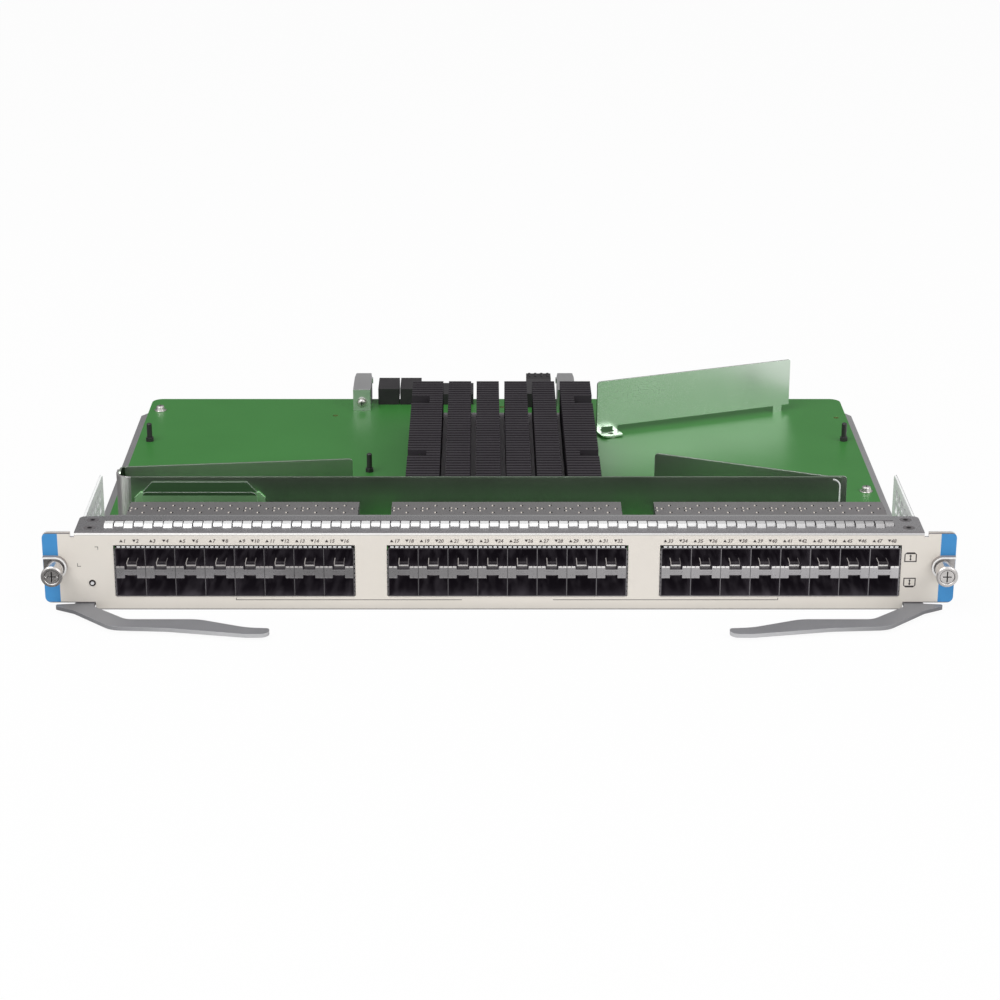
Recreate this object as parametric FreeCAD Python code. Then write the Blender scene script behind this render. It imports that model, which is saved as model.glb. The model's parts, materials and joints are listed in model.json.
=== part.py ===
import FreeCAD, Part
import math
import os

# A switch line card, in millimetres.
# X runs along the faceplate to the right, Y from its front face back to the backplane, Z up.
# Z = 0 is the underside of the tray, which is level with the faceplate's bottom edge.

Vector = FreeCAD.Vector

# Faceplate, folded from one sheet
panel_width = 437.0
panel_height = 39.8
panel_sheet = 1.5
panel_corner = 3.0
panel_bend = 1.0
end_step_height = 3.6
end_step_inset = 24.2
end_step_half = panel_width / 2 - end_step_inset
flange_inset = 15.5
flange_half = panel_width / 2 - flange_inset
flange_depth = 21.8
flange_corner = 3.0
relief_width = 2.0
relief_depth = 2.4

# Side ears, screwed under the flange's ends
ear_sheet = 1.0
ear_inset = 1.0
ear_outer = flange_half - ear_inset
ear_front = 2.8
ear_rear = 85.0
ear_low_front = 26.0
ear_front_bottom = 16.0
ear_tab_width = 9.4
ear_tab_rear = 20.6
ear_foot_width = 8.0
ear_foot_front = 31.0
ear_foot_rear = 82.0
ear_corner = 2.0
ear_hole = 5.2
ear_hole_pitch_y = 8.4
ear_hole_pitch_z = 7.0
ear_hole_columns = 6
ear_hole_rows = 4
ear_hole_last_y = ear_rear - 11.6
ear_hole_top_z = 31.2
ear_finger_rise = 1.6
ear_finger_bottom = 25.6
ear_finger_top = 36.6
ear_finger_count = 13

# Ejector levers, drawn on the left side and mirrored; lengths along X count from the pivot
lever_inset = 19.0
lever_pivot_x = lever_inset - panel_width / 2
lever_pivot_y = 7.0
lever_bottom = 1.3
lever_thick = 1.9
lever_lobe = 4.6
lever_nose_reach = 13.7
lever_nose_width = 2.0
lever_crank_front = 15.9
lever_handle_start = 42.5
lever_handle_end = 91.9
lever_reach = 37.2
lever_grip_front = 30.1
lever_grip_back = 19.4
lever_tip_width = 7.0
lever_tip_length = 11.4
lever_taper_length = 35.4
lever_running_gap = 0.1
lever_tray_gap = 11.9
pin_radius = 2.5
pin_clearance = 0.06
pin_head_radius = 4.5
pin_head_height = 1.0
bracket_plate = 1.2
bracket_reach = 10.5
bracket_inner_reach = 6.5
bracket_rear = 17.0
bracket_lip_top = 10.5

# Tray, standoffs and board
tray_sheet = 1.2
tray_overhang = 5.9
tray_half = ear_outer + tray_overhang
tray_shoulder = 3.4
tray_front_half = -lever_pivot_x - lever_lobe - lever_tray_gap
tray_corner_depth = 27.0
tray_lip_height = 6.0
standoff_height = 3.4
standoff_radius = 3.6
board_thick = 2.4
board_ear_gap = 1.2
board_front_half = ear_outer - ear_sheet - board_ear_gap
board_shoulder = 2.4
board_half = board_front_half + board_shoulder
board_front = 3.2
board_rear = 301.4
board_step = 88.0
board_corner = 6.0
board_bottom = tray_sheet + standoff_height
board_top = board_bottom + board_thick
tray_rear = board_rear - 9.0
tray_end = tray_rear - 5.1

# Port cages
port_pitch = 14.25
cage_margin = 22.375
cage_least_gap = 16.0
cage_pitch = (panel_width - 2 * cage_margin) / 3
ports_per_row = int((cage_pitch - cage_least_gap) / port_pitch)
port_height = 9.0
divider_height_gap = 6.1
cage_sheet = 0.4
cage_front = -0.3
cage_rear = 62.5
middle_cage_x = 3.95
cage_width = ports_per_row * port_pitch + cage_sheet
cage_bottom = board_top
lower_port = cage_bottom + cage_sheet
separator_bottom = lower_port + port_height
upper_port = separator_bottom + divider_height_gap
cage_top = upper_port + port_height + cage_sheet
latch_notch_width = 5.9
latch_notch_height = 1.7
latch_notch_depth = 4.0
latch_tongue_width = 5.0
latch_tongue_length = 8.0
latch_tongue_rise = 0.4
connector_block_depth = 14.0
connector_nose_depth = 6.0
connector_nose_height = 4.4
port_clearance = 0.1
separator_rear_gap = 2.0
separator_rear = cage_rear - cage_sheet - port_clearance - connector_block_depth - separator_rear_gap

# Faceplate windows and the cages' spring fingers
window_side_gap = 0.5
window_top_gap = 1.2
window_bottom_gap = 0.1
window_corner = 0.9
cage_finger_pitch = 2.35
cage_finger_gap = 0.75
cage_finger_depth = 5.0
cage_band = 0.2
cage_band_width = 1.2
finger_squeeze = 0.1

# Spring finger strip in the flange
finger_pitch = 4.75
strip_inset = 12.0
finger_pairs = int((flange_half - strip_inset) / finger_pitch)
finger_gap = 0.6
finger_sheet = 0.3
finger_ramp_share = 0.3
long_finger_front = 6.1
long_finger_rear = 15.6
long_finger_rise = 1.0
short_finger_front = 8.3
short_finger_rear = 15.2
short_finger_rise = 0.7
finger_slot_gap = 0.2
strip_slot_front = long_finger_front - finger_slot_gap
strip_slot_rear = 15.9
strip_margin = 1.5
strip_half = finger_pairs * finger_pitch

# Stiffening channel behind the faceplate
stiffener_sheet = 1.0
stiffener_depth = 29.6
stiffener_lip = 4.5
stiffener_window_gap = 0.5

# Countersunk screws in the flange
flange_screw_inset = 6.7
flange_screw_x = flange_half - flange_screw_inset
flange_screw_front_y = 6.4
flange_screw_rear_y = 16.9
flange_screw_radius = 1.4
flange_screw_length = 3.8

# Pan-head screws
pan_head_radius = 2.8
pan_head_height = 2.0
pan_head_taper = 0.5
pan_washer_radius = 3.4
pan_washer_sheet = 0.5
pan_shank_radius = 1.5
board_tooling_holes = ((-93.2, 30.5), (board_half - 6.0, 34.4), (3.3, 15.0))
rear_screw_x = 6.6 - board_half
rear_screw_inset = 21.4
rear_screw_y = board_rear - rear_screw_inset
side_screw_x = board_half - 5.6
side_screw_y = 144.5
cage_screw_y = 40.0

# Heat sink, its screws and the chips under it
sink_left = -47.4
sink_front_gap = 6.0
sink_fin_pitch = 3.95
sink_fin_rows = 40
sink_fin_thick = 1.85
sink_outer_column = 17.2
sink_inner_column = 12.6
sink_inner_columns = 4
sink_channel = 3.1
sink_base = 5.0
sink_fin_height = 19.5
sink_tail = 1.9
sink_pocket_width = 10.0
sink_pocket_reach = 5.5
sink_pocket_front_y = 127.6
sink_pocket_rear_y = 216.9
sink_screw_radius = 1.5
sink_screw_head = 2.9
sink_screw_head_height = 2.2
sink_screw_spring_radius = 2.4
sink_screw_spring_height = 5.0
sink_screw_grip = 2.4
chip_height = 3.5
chip_lid_height = 2.3
main_chip_size = 45.0
small_chip_size = 23.0
small_chip_lid = 17.0
small_chip_count = 3
small_chip_pitch = 26.0
small_chip_offset = 55.0
chip_lid_margin = 2.5
front_baffle_y = 86.0
baffle_sheet = 1.0
sink_front = front_baffle_y + baffle_sheet + sink_front_gap
sink_bottom = board_top + chip_height
sink_base_top = sink_bottom + sink_base
sink_top = sink_base_top + sink_fin_height
sink_width = (2 * sink_outer_column + sink_inner_columns * sink_inner_column
              + (sink_inner_columns + 1) * sink_channel)
sink_depth = (sink_fin_rows - 1) * sink_fin_pitch + sink_fin_thick + sink_tail

# Air baffles
baffle_top = 36.6
baffle_corner = 1.8
front_baffle_inset = 7.1
front_baffle_left = front_baffle_inset - board_half
front_baffle_right = board_half - 27.6
front_baffle_bend = 6.0
front_baffle_return = 11.5
left_baffle_fold = 15.5
left_baffle_flange = 8.0
left_baffle_end = (-75.5, 114.2)
right_baffle_end = (82.2, 123.0)
right_baffle_flange = 9.6
right_baffle_overhang = 2.9
side_baffle_bend = 1.5
baffle_foot_depth = 9.0
baffle_foot_width = 12.0
front_baffle_feet = (-100.0, 140.0)
bracket_inset = 9.9
bracket_width = 66.4
bracket_left = front_baffle_left + bracket_inset
bracket_right = bracket_left + bracket_width
bracket_shoulder_top = 28.6
bracket_shoulder = 4.0
bracket_top = 34.2
bracket_neck = 5.0
bracket_chamfer = 2.8
hood_inset = 4.2
hood_width = 58.6
hood_top = 30.4
hood_foot = 3.0
hood_lean = 4.0
hood_corner = 3.0
diagonal_start_inset = 63.5
diagonal_end_inset = 21.4
diagonal_start = (56.8, board_rear - diagonal_start_inset)
diagonal_end = (170.0, board_rear - diagonal_end_inset)
diagonal_top = 38.0
diagonal_corner = 1.0
diagonal_bottom = 10.9
diagonal_spacer = 0.6
diagonal_foot_width = 12.3
diagonal_foot_depth = 9.4
diagonal_window = 7.0
diagonal_tab_inset = 4.5
diagonal_tab_width = 5.5

# Backplane connectors and guide blocks
connector_overhang = 10.6
rear_face = board_rear + connector_overhang
guide_width = 10.2
guide_length = 31.8
guide_front = rear_face - guide_length
guide_height = 12.6
guide_left_x = -78.2
guide_right_x = 40.6
guide_lead = 0.7
guide_lead_length = 8.0
guide_key_proud = 0.6
guide_key_length = 2.5
guide_key_height = 3.0
guide_pin_radius = 2.6
guide_pin_depth = 18.0
guide_screw_z = 4.8
guide_screw_washer = 3.1
guide_screw_head = 2.3
guide_screw_head_height = 1.4
guide_screw_length = 6.0
connector_front = rear_face - 21.2
tall_connector_width = 12.1
tall_connector_height = 9.7
tall_connector_left_edges = (-69.1, -56.2)
low_connector_left = -31.3
low_connector_width = 17.9
low_connector_height = 6.5
connector_slot_pitch = 2.0
connector_slot_width = 1.0
connector_slot_depth = 6.0
power_left = 17.6
power_width = 14.3
power_front = board_rear - 15.8
power_rear = board_rear + 2.6
power_height = 15.0
power_front_height = 8.5
power_slope_depth = 7.3
power_bumps = 4
power_bump_length = 6.0
power_bump_rise = 0.4

# Posts on the board
post_side_x = board_half - 6.9
post_places = ((-post_side_x, 226.4), (-69.6, 175.8), (post_side_x, 226.8))
post_radius = 1.45
post_height = 10.5
post_foot_radius = 2.3
post_foot_height = 2.2

# Status light
light_inset = 23.1
light_x = light_inset - panel_width / 2
light_z = 13.8
light_radius = 1.4
light_reach = 29.0
light_proud = 0.4

# Captive screws
screw_inset = 6.1
screw_x = panel_width / 2 - screw_inset
screw_z = 22.6
collar_radius = 5.45
collar_wall = 0.9
collar_floor = 0.5
collar_height = 2.6
collar_end_gap = 0.2
ferrule_radius = 3.2
ferrule_bore = 1.85
ferrule_front = -4.0
ferrule_flange_radius = 4.2
ferrule_flange = 0.8
ferrule_rear = 3.0
knob_radius = 5.15
knob_length = 14.0
knob_disc = 1.6
knob_skirt_radius = 4.2
knob_skirt_bore = 3.65
screw_travel = 4.0
screw_stop_gap = 0.2
screw_neck_radius = 1.8
screw_thread_radius = 2.2
screw_thread_length = 6.0
screw_thread_gap = 0.3
recess_length = 5.6
recess_width = 0.9
recess_depth = 1.1
washer_thick = 0.5
washer_radius = 3.5
spring_radius = 3.3
spring_wire = 0.5
washer_gap = 0.05

# The row frame has its origin under the middle of the card's outline
footprint_centre_y = (rear_face - lever_reach) / 2

cage_names = ("left", "middle", "right")
cage_centres = tuple(middle_cage_x + (i - 1) * cage_pitch for i in range(3))

os.makedirs("parts", exist_ok=True)


def box(x0, x1, y0, y1, z0, z1):
    return Part.makeBox(x1 - x0, y1 - y0, z1 - z0, Vector(x0, y0, z0))


def rod(x, y, z, radius, length, direction=Vector(0, 0, 1)):
    return Part.makeCylinder(radius, length, Vector(x, y, z), direction)


def ring(x, y, z, outer, inner, length, direction=Vector(0, 0, 1)):
    return rod(x, y, z, outer, length, direction).cut(rod(x, y, z, inner, length, direction))


def rounded_wire(corners):
    """Closed wire through (point, radius) corners, each radius a tangent arc."""
    edges = []
    ends = []
    count = len(corners)
    for i, (point, radius) in enumerate(corners):
        before = corners[i - 1][0]
        after = corners[(i + 1) % count][0]
        if radius <= 0:
            ends.append((point, point))
            continue
        towards_before = (before - point).normalize()
        towards_after = (after - point).normalize()
        half_angle = towards_before.getAngle(towards_after) / 2
        setback = radius / math.tan(half_angle)
        bisector = (towards_before + towards_after).normalize()
        centre = point + bisector * (radius / math.sin(half_angle))
        start = point + towards_before * setback
        finish = point + towards_after * setback
        ends.append((start, finish))
        edges.append(Part.Arc(start, centre - bisector * radius, finish).toShape())
    for i in range(count):
        leave = ends[i - 1][1]
        arrive = ends[i][0]
        if (arrive - leave).Length > 1e-6:
            edges.append(Part.LineSegment(leave, arrive).toShape())
    return Part.Wire(Part.__sortEdges__(edges))


def plate_z(corners, z0, z1):
    """Flat plate with an outline in X and Y given as (x, y, radius)."""
    wire = rounded_wire([(Vector(x, y, z0), r) for x, y, r in corners])
    return Part.Face(wire).extrude(Vector(0, 0, z1 - z0))


def plate_y(corners, y0, y1):
    """Upright plate with an outline in X and Z given as (x, z, radius)."""
    wire = rounded_wire([(Vector(x, y0, z), r) for x, z, r in corners])
    return Part.Face(wire).extrude(Vector(0, y1 - y0, 0))


def plate_x(corners, x0, x1):
    """Side plate with an outline in Y and Z given as (y, z, radius)."""
    wire = rounded_wire([(Vector(x0, y, z), r) for y, z, r in corners])
    return Part.Face(wire).extrude(Vector(x1 - x0, 0, 0))


def mirrored(shape):
    """The same piece on the other side of the card."""
    return shape.mirror(Vector(0, 0, 0), Vector(1, 0, 0))


def save(name, pieces):
    """Write one node, moved so that the origin lies under the middle of the card."""
    shape = pieces if isinstance(pieces, Part.Shape) else Part.makeCompound(pieces)
    shape = shape.copy()
    shape.translate(Vector(0, -footprint_centre_y, 0))
    shape.exportStep("parts/" + name + ".step")


def make_faceplate():
    half = panel_width / 2
    upright = plate_y(
        [
            (-end_step_half, 0, 0.5),
            (end_step_half, 0, 0.5),
            (end_step_half, end_step_height, 0),
            (half, end_step_height, panel_corner),
            (half, panel_height, panel_corner),
            (-half, panel_height, panel_corner),
            (-half, end_step_height, panel_corner),
            (-end_step_half, end_step_height, 0),
        ],
        0,
        panel_sheet,
    )
    bend_start = panel_height - panel_bend
    relief_outer = flange_half + relief_width
    upright = upright.cut(
        box(-flange_half, flange_half, -1, panel_sheet + 1, bend_start, panel_height + 1)
    )
    flange = plate_x(
        [
            (0, bend_start, 0),
            (0, panel_height, panel_bend),
            (flange_depth, panel_height, 0),
            (flange_depth, panel_height - panel_sheet, 0),
            (panel_sheet, panel_height - panel_sheet, panel_bend - panel_sheet),
            (panel_sheet, bend_start, 0),
        ],
        -flange_half,
        flange_half,
    )
    flange_outline = plate_z(
        [
            (-flange_half, -1, 0),
            (flange_half, -1, 0),
            (flange_half, flange_depth, flange_corner),
            (-flange_half, flange_depth, flange_corner),
        ],
        0,
        panel_height + 1,
    )
    panel = upright.fuse(flange.common(flange_outline))
    for side in (-1, 1):
        edges = sorted((side * flange_half, side * relief_outer))
        panel = panel.cut(
            box(edges[0], edges[1], -1, panel_sheet + 1, panel_height - relief_depth, panel_height + 1)
        )
    for centre in cage_centres:
        reach = cage_width / 2 + window_side_gap
        low = cage_bottom - window_bottom_gap
        high = cage_top + window_top_gap
        panel = panel.cut(
            plate_y(
                [
                    (centre - reach, low, window_corner),
                    (centre + reach, low, window_corner),
                    (centre + reach, high, window_corner),
                    (centre - reach, high, window_corner),
                ],
                -1,
                panel_sheet + 1,
            )
        )
    slot_bottom = panel_height - panel_sheet - 1
    slots = []
    for i in range(2 * finger_pairs):
        left = -strip_half + i * finger_pitch
        front = finger_front(i) - finger_slot_gap
        slots.append(
            box(left, left + finger_pitch, front, strip_slot_rear, slot_bottom, panel_height + 1)
        )
    panel = panel.cut(slots)
    for x, y in flange_screw_places():
        panel = panel.cut(flange_screw(x, y))
    panel = panel.cut(rod(light_x, -1, light_z, light_radius, panel_sheet + 2, Vector(0, 1, 0)))
    for side in (-1, 1):
        panel = panel.cut(
            rod(side * screw_x, -1, screw_z, ferrule_radius, panel_sheet + 2, Vector(0, 1, 0))
        )
    return panel.removeSplitter()


def flange_screw_places():
    rows = (flange_screw_front_y, flange_screw_rear_y)
    return [(side * flange_screw_x, y) for side in (-1, 1) for y in rows]


def flange_screw(x, y):
    """Countersunk screw, flush with the flange's top; its cone fills the flange's thickness."""
    seat = panel_height - panel_sheet
    cone = Part.makeCone(
        flange_screw_radius, flange_screw_radius + panel_sheet, panel_sheet, Vector(x, y, seat)
    )
    shank_end = panel_height - flange_screw_length
    shank = rod(x, y, shank_end, flange_screw_radius, seat - shank_end)
    return cone.fuse(shank)


def finger_front(i):
    """Front end of the strip's finger number i: long and short ones take turns."""
    return long_finger_front if i % 2 == 0 else short_finger_front


def bowed_finger(low, high, rise):
    """Outline of one bowed spring finger, in (along, out) from its foot line."""
    ramp = (high - low) * finger_ramp_share
    inset = finger_sheet * 0.8
    return [
        (low, 0),
        (low + ramp, rise),
        (high - ramp, rise),
        (high, 0),
        (high - finger_sheet * 2, 0),
        (high - ramp - inset, rise - finger_sheet),
        (low + ramp + inset, rise - finger_sheet),
        (low + finger_sheet * 2, 0),
    ]


def make_top_gasket():
    """Finger strip clamped under the flange, with its fingers bowed up through the slot."""
    foot = panel_height - panel_sheet - finger_sheet
    strip = box(
        -strip_half,
        strip_half,
        strip_slot_front - strip_margin,
        strip_slot_rear + strip_margin,
        foot,
        foot + finger_sheet,
    )
    fingers = []
    for i in range(2 * finger_pairs):
        is_long = i % 2 == 0
        rear = long_finger_rear if is_long else short_finger_rear
        rise = (long_finger_rise if is_long else short_finger_rise) + panel_sheet
        outline = bowed_finger(finger_front(i), rear, rise)
        left = -strip_half + i * finger_pitch + finger_gap / 2
        corners = [(y, foot + finger_sheet + z, 0) for y, z in outline]
        fingers.append(plate_x(corners, left, left + finger_pitch - finger_gap))
    return strip.fuse(fingers)


def make_stiffener():
    """Channel behind the faceplate that carries the finger strip."""
    top = panel_height - panel_sheet - finger_sheet
    front_bottom = cage_top + window_top_gap + stiffener_window_gap
    inner_bend = 0.5
    corners = [
        (panel_sheet, front_bottom, 0),
        (panel_sheet, top, inner_bend + stiffener_sheet),
        (stiffener_depth, top, inner_bend + stiffener_sheet),
        (stiffener_depth, top - stiffener_lip, 0),
        (stiffener_depth - stiffener_sheet, top - stiffener_lip, 0),
        (stiffener_depth - stiffener_sheet, top - stiffener_sheet, inner_bend),
        (panel_sheet + stiffener_sheet, top - stiffener_sheet, inner_bend),
        (panel_sheet + stiffener_sheet, front_bottom, 0),
    ]
    return plate_x(corners, -strip_half, strip_half)


def make_left_ear():
    """Perforated ear: side wall, tab under the flange, foot on the tray."""
    inner = ear_outer - ear_sheet
    top = panel_height - panel_sheet
    wall = plate_x(
        [
            (ear_front, ear_front_bottom, 0),
            (ear_low_front, ear_front_bottom, 0),
            (ear_low_front, tray_sheet, 0),
            (ear_rear, tray_sheet, 0),
            (ear_rear, top, ear_corner),
            (ear_front, top, 0),
        ],
        -ear_outer,
        -inner,
    )
    tab = box(-inner, ear_tab_width - inner, ear_front, ear_tab_rear, top - ear_sheet, top)
    foot = box(
        -inner,
        -inner + ear_foot_width,
        ear_foot_front,
        ear_foot_rear,
        tray_sheet,
        tray_sheet + ear_sheet,
    )
    ear = wall.fuse([tab, foot])
    holes = []
    for column in range(ear_hole_columns):
        y = ear_hole_last_y - column * ear_hole_pitch_y
        for row in range(ear_hole_rows):
            z = ear_hole_top_z - row * ear_hole_pitch_z
            reach = ear_hole / 2
            holes.append(box(-ear_outer - 1, -inner + 1, y - reach, y + reach, z - reach, z + reach))
    for x, y in flange_screw_places():
        if x < 0:
            holes.append(rod(x, y, 0, flange_screw_radius, panel_height))
    return ear.cut(holes).removeSplitter()


def make_left_ear_gasket():
    """Finger strip on the ear's outer face; the fingers bow outwards."""
    carrier = box(
        -ear_outer - finger_sheet,
        -ear_outer,
        ear_rear - ear_finger_count * finger_pitch,
        ear_rear,
        ear_finger_bottom - strip_margin,
        ear_finger_top + strip_margin,
    )
    fingers = []
    for i in range(ear_finger_count):
        outline = bowed_finger(ear_finger_bottom, ear_finger_top, ear_finger_rise)
        front = ear_rear - (i + 1) * finger_pitch + finger_gap / 2
        corners = [(-ear_outer - finger_sheet - out, z, 0) for z, out in outline]
        fingers.append(plate_y(corners, front, front + finger_pitch - finger_gap))
    return carrier.fuse(fingers)


def make_cage_shell(centre):
    """Folded shell, open at the front."""
    half = cage_width / 2
    outside = box(centre - half, centre + half, cage_front, cage_rear, cage_bottom, cage_top)
    inside = box(
        centre - half + cage_sheet,
        centre + half - cage_sheet,
        cage_front - 1,
        cage_rear - cage_sheet,
        cage_bottom + cage_sheet,
        cage_top - cage_sheet,
    )
    return outside.cut(inside)


def port_centres(centre):
    return [centre + (i - (ports_per_row - 1) / 2) * port_pitch for i in range(ports_per_row)]


def make_dividers(centre):
    """Seven thin walls between the port columns."""
    walls = []
    for x in port_centres(centre)[:-1]:
        left = x + port_pitch / 2 - cage_sheet / 2
        walls.append(
            box(
                left,
                left + cage_sheet,
                cage_front,
                cage_rear - cage_sheet,
                cage_bottom + cage_sheet,
                cage_top - cage_sheet,
            )
        )
    return walls


def make_separators(centre):
    """Box between the upper and lower port of each column, with its notches and latch tongues."""
    boxes = []
    half = (port_pitch - cage_sheet) / 2
    for x in port_centres(centre):
        body = box(x - half, x + half, cage_front, separator_rear, separator_bottom, upper_port)
        notches = [
            box(
                x - latch_notch_width / 2,
                x + latch_notch_width / 2,
                cage_front - 1,
                cage_front + latch_notch_depth,
                low,
                low + latch_notch_height,
            )
            for low in (separator_bottom, upper_port - latch_notch_height)
        ]
        body = body.cut(notches)
        root = cage_front + latch_notch_depth
        for face, rise in ((upper_port, latch_tongue_rise), (separator_bottom, -latch_tongue_rise)):
            outline = [(root, face, 0), (root, face + rise, 0), (root + latch_tongue_length, face, 0)]
            tongue = plate_x(outline, x - latch_tongue_width / 2, x + latch_tongue_width / 2)
            body = body.fuse(tongue)
        boxes.append(body.removeSplitter())
    return boxes


def make_cage_connectors(centre):
    """Stacked connector block at the back of each column, one nose into each port."""
    blocks = []
    half = (port_pitch - cage_sheet) / 2 - port_clearance
    rear = cage_rear - cage_sheet - port_clearance
    front = rear - connector_block_depth
    nose = front - connector_nose_depth
    outline = [(rear, lower_port, 0), (front, lower_port, 0)]
    for floor in (lower_port, upper_port):
        middle = floor + port_height / 2
        low = middle - connector_nose_height / 2
        high = middle + connector_nose_height / 2
        outline += [(front, low, 0), (nose, low, 0), (nose, high, 0), (front, high, 0)]
    outline += [(front, upper_port + port_height, 0), (rear, upper_port + port_height, 0)]
    for x in port_centres(centre):
        blocks.append(plate_x(outline, x - half, x + half))
    return blocks


def make_cage_gasket(centre):
    """Band around the cage with fingers that press on the window's edges."""
    half = cage_width / 2
    front = cage_front
    rear = front + cage_finger_depth
    outer = half + cage_band
    band_front = rear - cage_band_width
    band = box(centre - outer, centre + outer, band_front, rear, cage_bottom, cage_top + cage_band)
    band = band.cut(box(centre - half, centre + half, front, rear + 1, cage_bottom - 1, cage_top))
    fingers = []
    top_rise = window_top_gap - finger_squeeze
    count = int(cage_width / cage_finger_pitch)
    first = centre - count * cage_finger_pitch / 2
    for i in range(count):
        left = first + i * cage_finger_pitch + cage_finger_gap / 2
        corners = [(rear, cage_top, 0), (front, cage_top + top_rise, 0), (front, cage_top, 0)]
        fingers.append(plate_x(corners, left, left + cage_finger_pitch - cage_finger_gap))
    side_rise = window_side_gap - finger_squeeze / 2
    side_count = int((cage_top - cage_bottom) / cage_finger_pitch)
    for side in (-1, 1):
        wall = centre + side * half
        for i in range(side_count):
            low = cage_bottom + 0.6 + i * cage_finger_pitch
            corners = [(wall, rear, 0), (wall + side * side_rise, front, 0), (wall, front, 0)]
            fingers.append(plate_z(corners, low, low + cage_finger_pitch - cage_finger_gap))
    return band.fuse(fingers)


def make_tray():
    """Carrier sheet under the board, cut away at its front corners for the levers."""
    shoulder_half = tray_half - tray_shoulder
    sheet = plate_z(
        [
            (-tray_front_half, panel_sheet, 0),
            (tray_front_half, panel_sheet, 0),
            (tray_front_half, tray_corner_depth, 2),
            (tray_half, tray_corner_depth, 3),
            (tray_half, tray_end, 2),
            (shoulder_half, tray_rear, 2),
            (-shoulder_half, tray_rear, 2),
            (-tray_half, tray_end, 2),
            (-tray_half, tray_corner_depth, 3),
            (-tray_front_half, tray_corner_depth, 2),
        ],
        0,
        tray_sheet,
    )
    lip = box(
        -tray_front_half,
        tray_front_half,
        panel_sheet,
        panel_sheet + tray_sheet,
        0,
        tray_lip_height,
    )
    return sheet.fuse(lip).removeSplitter()


def board_screw_places():
    """Screws through the board: one rear corner, both sides, and two between the cages."""
    places = [(rear_screw_x, rear_screw_y)]
    places += [(side * side_screw_x, side_screw_y) for side in (-1, 1)]
    places += [(middle_cage_x + side * cage_pitch / 2, cage_screw_y) for side in (-1, 1)]
    return places


def board_standoff_places():
    return board_screw_places() + sink_screw_places()


def baffle_foot_screw_places():
    return [(x, front_baffle_y - baffle_foot_depth / 2) for x in front_baffle_feet]


def diagonal_foot_screw_place():
    return diagonal_point(diagonal_foot_width / 2, diagonal_foot_depth * 0.62)


def sink_screw_places():
    left = sink_left + sink_pocket_width / 2
    right = sink_left + sink_width - sink_pocket_width / 2
    return [(x, y) for x in (left, right) for y in (sink_pocket_front_y, sink_pocket_rear_y)]


def make_board():
    board = plate_z(
        [
            (-board_front_half, board_front, 1),
            (board_front_half, board_front, 1),
            (board_front_half, board_step, 0.5),
            (board_half, board_step, 0.5),
            (board_half, board_rear, board_corner),
            (-board_half, board_rear, board_corner),
            (-board_half, board_step, 0.5),
            (-board_front_half, board_step, 0.5),
        ],
        board_bottom,
        board_top,
    )
    places = board_standoff_places() + baffle_foot_screw_places()
    places += [(x, board_rear - inset) for x, inset in board_tooling_holes]
    places.append(diagonal_foot_screw_place())
    holes = [rod(x, y, 0, pan_shank_radius, board_top + 1) for x, y in places]
    return board.cut(holes)


def make_standoffs():
    """Hexagonal standoffs between tray and board, and the spacer under the diagonal baffle."""
    pieces = []
    for x, y in board_standoff_places():
        hexagon = plate_z(hexagon_points(x, y, standoff_radius), tray_sheet, board_bottom)
        pieces.append(hexagon.cut(rod(x, y, 0, pan_shank_radius, board_bottom + 1)))
    foot_x, foot_y = diagonal_foot_screw_place()
    spacer = ring(foot_x, foot_y, board_top, pan_washer_radius, pan_shank_radius, diagonal_spacer)
    pieces.append(spacer)
    return pieces


def hexagon_points(x, y, radius):
    """Six corners round a place, for a plate's outline."""
    angles = [math.radians(30 + 60 * i) for i in range(6)]
    return [(x + radius * math.cos(a), y + radius * math.sin(a), 0) for a in angles]


def pan_screw(x, y, seat, length):
    """Pan-head screw with its washer, pointing down."""
    washer = rod(x, y, seat, pan_washer_radius, pan_washer_sheet)
    head = Part.makeCone(
        pan_head_radius,
        pan_head_radius - pan_head_taper,
        pan_head_height,
        Vector(x, y, seat + pan_washer_sheet),
    )
    shank = rod(x, y, seat - length, pan_shank_radius, length)
    return washer.fuse([head, shank])


def make_pan_screws():
    """All the screws of one size: through the board and through the front baffle's feet."""
    board_length = board_thick + standoff_height
    screws = [pan_screw(x, y, board_top, board_length) for x, y in board_screw_places()]
    for x, y in baffle_foot_screw_places():
        screws.append(pan_screw(x, y, board_top + baffle_sheet, baffle_sheet + board_thick))
    return screws


def column_edges():
    """Left and right edge of each fin column."""
    edges = []
    left = sink_left
    widths = [sink_outer_column] + [sink_inner_column] * sink_inner_columns + [sink_outer_column]
    for width in widths:
        edges.append((left, left + width))
        left += width + sink_channel
    return edges


def pocket_rows(y):
    """The whole fins that a pocket round a screw at y takes away."""
    first_middle = sink_front + sink_fin_thick / 2
    return [
        row
        for row in range(sink_fin_rows)
        if abs(first_middle + row * sink_fin_pitch - y) < sink_pocket_reach
    ]


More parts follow.
